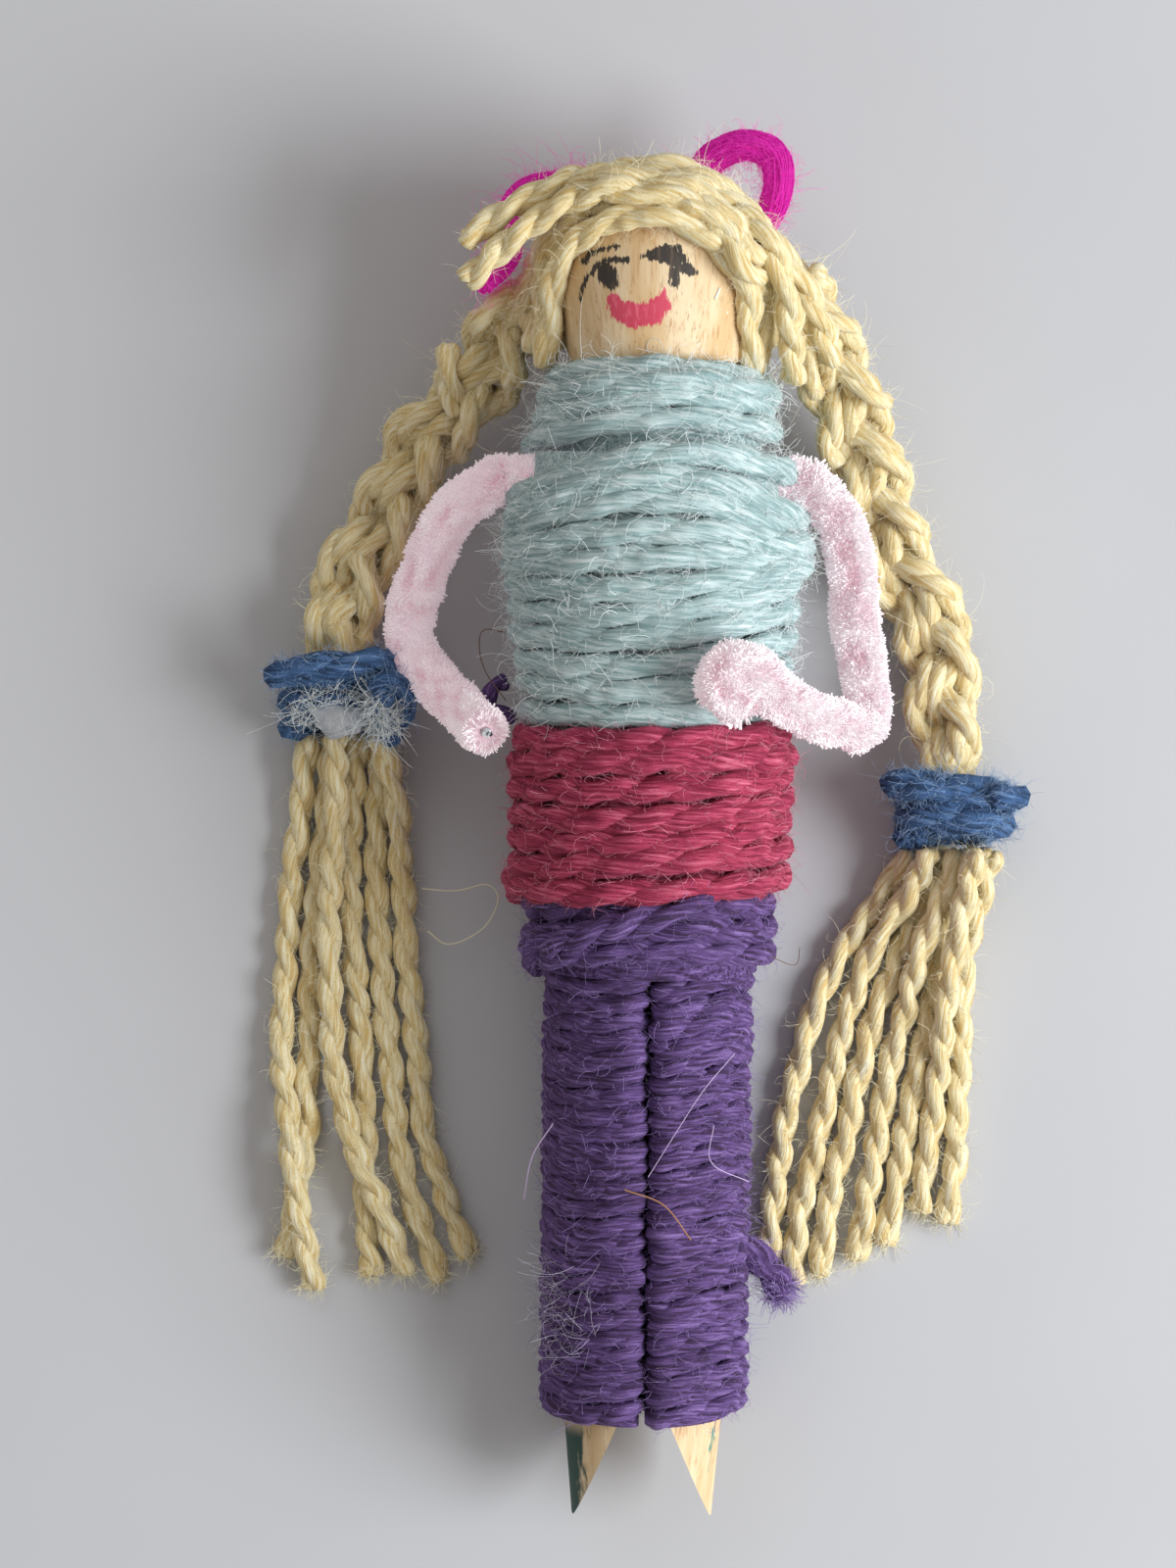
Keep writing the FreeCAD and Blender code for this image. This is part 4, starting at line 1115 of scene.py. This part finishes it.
make_braid("left")
make_braid("right")
LEFT_TIE = make_tie("left", 3.9, 3.2, [
    (1.3, [(-4.2, -2.9, 2.6), (-2.6, -2.8, 4.3), (0.8, -2.5, 4.9), (4.0, -2.1, 4.0), (5.3, -1.9, 2.9)]),
    (1.0, [(-2.6, -0.9, 4.8), (-4.4, -1.3, 5.2), (-5.7, 0.0, 4.6), (-5.1, 1.5, 4.2), (-3.7, 1.4, 5.0),
           (-3.6, 0.0, 5.7), (-4.8, 0.2, 6.0)]),
    (0.9, [(-3.4, 1.6, 3.4), (-4.3, 2.7, 3.0), (-4.6, 3.5, 2.3)]),
])
make_tie("right", 3.6, 3.1, [
    (1.3, [(-2.6, -1.2, 3.4), (-4.2, -1.0, 3.4), (-5.2, -0.6, 2.8)]),
    (1.2, [(1.0, -2.0, 4.0), (3.2, -2.2, 4.0), (5.0, -2.2, 3.2), (5.7, -2.1, 2.6)]),
])


GLUE_AT = np.array([-24.5, 8.9, 9.25])
GLUE_HALF_SIZE = (2.5, 1.3, 0.45)


def make_glue():
    """A thin film over the front of the left tie, with hairs caught in it."""
    lean = np.linspace(0.001, math.radians(89), 24)[:, None]
    angle = np.linspace(0, TURN, 60, endpoint=False)[None]
    ragged = 1 + 0.16 * np.sin(3 * angle + 0.7) + 0.10 * np.sin(7 * angle + 2.0)
    wide, tall, thick = GLUE_HALF_SIZE
    x = wide * np.sin(lean) * np.cos(angle) * ragged
    y = tall * np.sin(lean) * np.sin(angle) * ragged
    z = thick * np.cos(lean) + 0.1 * np.sin(2.2 * x + 1.1) * np.sin(3.1 * y)
    film = rings_mesh(np.stack([x, y, z], -1) + GLUE_AT)
    show("left_tie_glue_film", film, GLUE, "left_braid", ["left_tie_glue"])
    near = top_within(LEFT_TIE, GLUE_AT, [4.6, 2.6, 4.0])
    stray = two_fuzzes(LEFT_TIE, (1500, 1.6, 0.035, 0.3, 0.9, near), (150, 4.0, 0.03, 0.8, 0.7, near))
    show("left_tie_white_hairs", stray, WHITE_FIBRE, "left_braid")


make_glue()


# ---- chenille arms

# Each arm's route from the shoulder to the elbow, on to its end, and round the folded hand.
ARMS = {
    "left": (
        [(-11.08, 28.46, 13.76), (-14.9, 26.2, 11.8), (-17.5, 21.8, 8.8), (-19.2, 15.9, 5.8)],
        [(-16.6, 11.8, 9.8), (-14.2, 9.4, 13.6), (-12.6, 7.9, 17.2)],
        [],
    ),
    "right": (
        [(13.11, 28.17, 13.76), (16.3, 24.0, 13.4), (17.3, 16.5, 12.2), (18.1, 8.9, 11.8)],
        [(14.6, 8.8, 17.2), (11.2, 10.2, 22.2), (7.8, 12.0, 25.0)],
        [(10.2, 10.6, 23.4), (8.2, 12.6, 25.6), (6.4, 12.6, 26.4), (6.0, 11.2, 26.2),
         (7.6, 10.0, 25.2)],
    ),
}
STEM_RING_RADIUS = 8.3
STEM_EXIT = 12.0
STEM_HEIGHT = 28.4
PILE_STEP = 0.1
CORE_SIDES = 32
CUT_END_TUFTS = 3500
TUFT_RADII = (0.09, 0.08)


def clumps(grid, along, angle):
    """Smooth random values over the length and round a pile, with clumps about 1 mm across."""
    rows, columns = grid.shape
    row = np.clip(along / 1.0, 0, rows - 1.001)
    column = angle / TURN * columns
    low = row.astype(int)
    left = np.floor(column).astype(int)
    right = (left + 1) % columns
    down = eased(row - low)
    across = eased(column - left)
    left = left % columns
    upper = grid[low, left] * (1 - across) + grid[low, right] * across
    lower = grid[low + 1, left] * (1 - across) + grid[low + 1, right] * across
    return upper * (1 - down) + lower * down


def chenille(line, density=1250, reach=2.05, cut_end=False):
    """A velvety pile: a lumpy body, covered with short tufts that spread from the wire.

    density is the tufts to a millimetre, and reach is the pile's radius.
    """
    line = evenly(line, PILE_STEP)
    length = PILE_STEP * len(line)
    grid = random.uniform(-1, 1, (int(length) + 3, 12))
    forward, sideways, upward = frame_of(line)

    count = int(density * length)
    steps = random.uniform(0, len(line) - 1.001, count)
    low = steps.astype(int)
    places = line[low] + (line[low + 1] - line[low]) * (steps - low)[:, None]
    angle = random.uniform(0, TURN, count)
    lean = random.normal(0, 0.3, count)
    way = (
        (np.cos(angle) * np.cos(lean))[:, None] * sideways[low]
        + (np.sin(angle) * np.cos(lean))[:, None] * upward[low]
        + np.sin(lean)[:, None] * forward[low]
    )
    lump = clumps(grid, steps * PILE_STEP, angle)
    size = (reach * (0.94 + 0.14 * lump) * random.uniform(0.95, 1.02, count))[:, None]
    bend = random.normal(0, 0.2, (count, 3))
    roots = places + way * size * 0.74
    tips = places + (way + bend * 0.26) * size
    # Painted shade: tufts are darker where the clumps dip.
    shade = 0.35 * lump + random.uniform(0.75, 1.0, count)
    if cut_end:
        out = spun(random.uniform(0, TURN, CUT_END_TUFTS), sideways[-1], upward[-1])
        spread = 0.84 * np.sqrt(random.uniform(0.02, 1, (CUT_END_TUFTS, 1)))
        ends = line[-1] - 0.45 * forward[-1] + reach * spread * out
        way = unit(forward[-1] + 0.8 * spread * out + random.normal(0, 0.2, out.shape))
        roots = np.vstack([roots, ends])
        tips = np.vstack([tips, ends + way * random.uniform(0.3, 0.5, (CUT_END_TUFTS, 1))])
        shade = np.concatenate([shade, 0.6 + 0.4 * spread[:, 0]])
    lines = kept_above(np.stack([roots, tips], axis=1), 0.08)
    tufts = tubes(lines, np.array([TUFT_RADII]), 3)
    # Painted shade: each tuft is darker at its root than at its tip, and the cut end is darker towards its
    # middle.
    painted_depth_shade = np.repeat(np.tile([0.6, 1.0], len(lines)), 3) * np.repeat(shade, 6)
    tufts["fibre"] = np.stack([painted_depth_shade, 0 * painted_depth_shade, 0 * painted_depth_shade], -1)

    middle = line[::2]
    along = np.arange(len(middle))[:, None] * 0.2
    turn = np.arange(CORE_SIDES)[None] * (TURN / CORE_SIDES)
    lump = clumps(grid, along + 0 * turn, turn + 0 * along)
    core = tubes(middle[None], np.ones((1, len(middle))), CORE_SIDES)
    wide = reach * (0.81 + 0.14 * lump)
    wide[[0, -1]] = 0.03
    axis = np.repeat(middle, CORE_SIDES, axis=0)
    core["points"] = kept_above(axis + (core["points"] - axis) * wide.reshape(-1, 1), 0.05)
    # Painted shade: the body under the tufts takes a darker share of the pile's colours.
    core["fibre"] = core["fibre"] * 0 + np.array([1.0, 0, 0]) * (0.5 + 0.35 * lump).reshape(-1, 1)
    return joined([tufts, core])


def make_arm(side):
    """Two pieces, one from the shoulder and one on past the elbow to the end, which meet between."""
    upper, fore, hand = ARMS[side]
    whole = through(np.vstack([upper, fore]), PILE_STEP)
    elbow = int(np.argmin(np.linalg.norm(whole - np.array(upper[-1]), axis=1)))
    middle = elbow // 2
    top = chenille(whole[:middle + 8])
    end = [chenille(whole[middle:], cut_end=not hand)]
    if hand:
        end.append(chenille(through(hand, PILE_STEP), cut_end=True))
    piece = new_piece(side + "_arm_top", top, PILE)
    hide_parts(f"{side}_upper_arm_pile")
    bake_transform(piece)
    piece = new_piece(side + "_arm_end", joined(end), PILE)
    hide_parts(f"{side}_forearm_pile")
    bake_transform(piece)
    return whole


def make_wire_tips(line):
    """The two cut wires that stand out of the end of the pile."""
    tip = line[-1]
    ahead = unit(tip - line[-8])
    beside = unit(np.cross(ahead, [0.3, 1.0, 0]))
    wires = []
    for off, reach in ((-0.26, 0.55), (0.26, 0.35)):
        wire = evenly([tip - ahead + beside * off, tip + ahead * reach + beside * off], 0.2)
        wires.append(tubes(wire[None], np.full((1, len(wire)), 0.2), 10))
    show("left_hand_wire_tips", joined(wires), WIRE, "left_forearm")


def make_stem_round_chest():
    """The hidden middle of the stem, whose pink shows a little between the shirt's strands."""
    angle = np.linspace(0, TURN, 90)
    x, z = STEM_RING_RADIUS * np.cos(angle), STEM_RING_RADIUS * np.sin(angle)
    parts = [chenille(from_peg(np.stack([x, 0 * angle + STEM_HEIGHT, z], 1)), 220, 1.5)]
    for side in (-1, 1):
        route = [from_peg([side * away, STEM_HEIGHT, 0]) for away in (STEM_RING_RADIUS, STEM_EXIT)]
        parts.append(chenille(through(route, 0.2), 500, 1.9))
    show("stem_round_chest", joined(parts), PILE, instead_of=["chest_stem_pile"])


make_wire_tips(make_arm("left"))
make_arm("right")
for node in ("left_upper_arm_wire", "left_forearm_wire", "right_upper_arm_wire",
             "right_forearm_wire", "chest_stem_wire"):
    dress(node, WIRE)
make_stem_round_chest()


# ---- bows and small pieces

BOWS = {
    "left": [(-4.8, 53.4, 7.4), (-6.0, 52.9, 8.8), (-9.2, 51.8, 10.2), (-10.9, 49.2, 12.0),
             (-11.1, 46.6, 13.4), (-13.2, 43.8, 14.8)],
    "right": [(4.2, 51.2, 6.0), (4.6, 53.0, 7.2), (6.0, 55.0, 8.6), (8.4, 55.8, 9.8), (10.5, 55.0, 10.4),
              (11.1, 53.2, 10.6), (10.8, 51.2, 10.2), (9.8, 49.2, 9.4)],
}


BOW_FIBRES = 150


def make_bow(side, thickness):
    """Loose roving: many wavy fibres side by side round a soft core."""
    line = through(BOWS[side], 0.35)
    _, sideways, upward = frame_of(line)
    steps = len(line)
    swell = thickness * (1 + wander(steps, 5, 0.18))
    lines = []
    for _ in range(BOW_FIBRES):
        angle = random.uniform(0, TURN) + wander(steps, 4, 0.6)
        reach = swell * random.uniform(0.75, 1.08) + wander(steps, 7, 0.12)
        lines.append(line + reach[:, None] * spun(angle, sideways, upward))
    strands = tubes(np.array(lines), np.full((BOW_FIBRES, steps), 0.10), 4, 1.0)
    core = tubes(line[None], (swell * 0.86)[None], 14, 1.2)
    whole = joined([core, strands])
    show(side + "_bow_roving", whole, MAGENTA, instead_of=[side + "_bow"])
    stray = two_fuzzes(whole, (1500, 1.4, 0.018, 0.9), (260, 3.2, 0.018, 1.0))
    show(side + "_bow_fuzz", stray, MAGENTA_FIBRE)


def make_yarn_tail():
    """The cut end of the leg yarn, frayed, off the right leg."""
    route = [(7.2, -33.8, 9.0), (9.2, -34.8, 8.6), (10.8, -36.6, 7.8), (11.7, -38.4, 7.4)]
    end = yarn(through(route), 1.25)
    show("leg_yarn_tail", end, PURPLE, instead_of=["leg_yarn_end"])
    stray = two_fuzzes(end, (420, 1.5, 0.035, 0.4, 0.25, cut_end_of(end, 30)), (300, 1.5))
    show("leg_yarn_tail_fuzz", stray, PURPLE_FIBRE)


def make_waist_loop():
    route = [(-10.2, 8.9, 8.8), (-11.0, 9.3, 8.6), (-12.5, 10.0, 8.4), (-12.3, 11.6, 8.3),
             (-10.9, 12.2, 8.5)]
    loop = yarn(through(route), 0.7, 5.0)
    show("waist_loop", loop, PURPLE, instead_of=["waist_yarn_loop"])


# Single long hairs: material, slot, radius and route.
HAIRS = {
    "brown_hair": (BROWN_FIBRE, "aqua_yarn", 0.05, [
        (-11.0, 10.4, 13.0), (-12.6, 12.6, 12.6), (-13.2, 14.6, 12.0), (-12.9, 16.2, 11.4),
        (-11.2, 16.0, 11.8)]),
    "dark_hair": (BROWN_FIBRE, "purple_yarn", 0.035, [
        (7.8, -9.6, 15.0), (10.2, -10.2, 13.0), (12.4, -11.0, 11.6), (12.8, -9.6, 11.4)]),
    "leg_hair_1": (LILAC_FIBRE, "purple_yarn", 0.06, [
        (-7.2, -23.6, 14.6), (-8.9, -26.4, 13.0), (-9.6, -30.0, 11.2)]),
    "leg_hair_2": (LILAC_FIBRE, "purple_yarn", 0.035, [
        (7.3, -17.8, 17.2), (4.8, -20.6, 18.6), (2.6, -24.0, 18.4), (0.4, -27.6, 17.6)]),
    "leg_hair_3": (LILAC_FIBRE, "purple_yarn", 0.035, [
        (5.6, -23.4, 18.3), (5.4, -26.4, 18.0), (8.5, -28.2, 15.6)]),
    "leg_hair_4": (TAN_FIBRE, "purple_yarn", 0.06, [
        (-1.5, -28.6, 17.8), (1.6, -29.8, 18.0), (3.8, -32.6, 17.8)]),
}
TASSEL_HAIR = [
    (-18.2, -5.0, 3.4), (-15.4, -5.2, 2.6), (-12.8, -4.7, 2.2), (-11.9, -6.0, 2.0),
    (-13.2, -8.4, 1.8), (-16.0, -9.7, 1.6), (-17.8, -8.6, 1.8),
]
# The two ends of each glint on the glue on the right cheek, as seen: painted highlights, drawn as white
# dots.
CHEEK_GLUE_GLINTS = [((6.3, 43.9), (5.9, 43.0)), ((6.9, 42.0), (6.5, 41.0)), ((7.2, 40.4), (7.6, 41.3))]


def one_hair(points, radius):
    line = through(points, 0.4)
    return tubes(line[None], np.full((1, len(line)), radius), 5)


def make_lint():
    """Pale grey fluff caught on the lower left leg."""
    spot = top_within(LEFT_LEG, [-6.6, -38.8, 14.0], [3.2, 4.6, 4.0])
    stray = fuzz(LEFT_LEG, 190, 3.2, 0.024, 0.7, 0.6, spot)
    show("leg_lint", stray, LINT_FIBRE)


def make_cheek_glue_glints():
    # Painted highlights: white glossy dots where light glints on the dried glue.
    dots = []
    for start, end in CHEEK_GLUE_GLINTS:
        line = evenly([on_hair(*start, 8.2), on_hair(*end, 8.2)], 0.1)
        dots.append(tubes(line[None], np.full((1, len(line)), 0.08), 8))
    show("cheek_glue_glints", joined(dots), GLINT)


make_bow("left", 1.05)
make_bow("right", 1.1)
make_yarn_tail()
make_waist_loop()
show("loop_hair", one_hair(TASSEL_HAIR, 0.06), HAIR_FIBRE, "left_braid")
make_lint()
make_cheek_glue_glints()
for name, (material, slot, radius, route) in HAIRS.items():
    show(name, one_hair(route, radius), material)
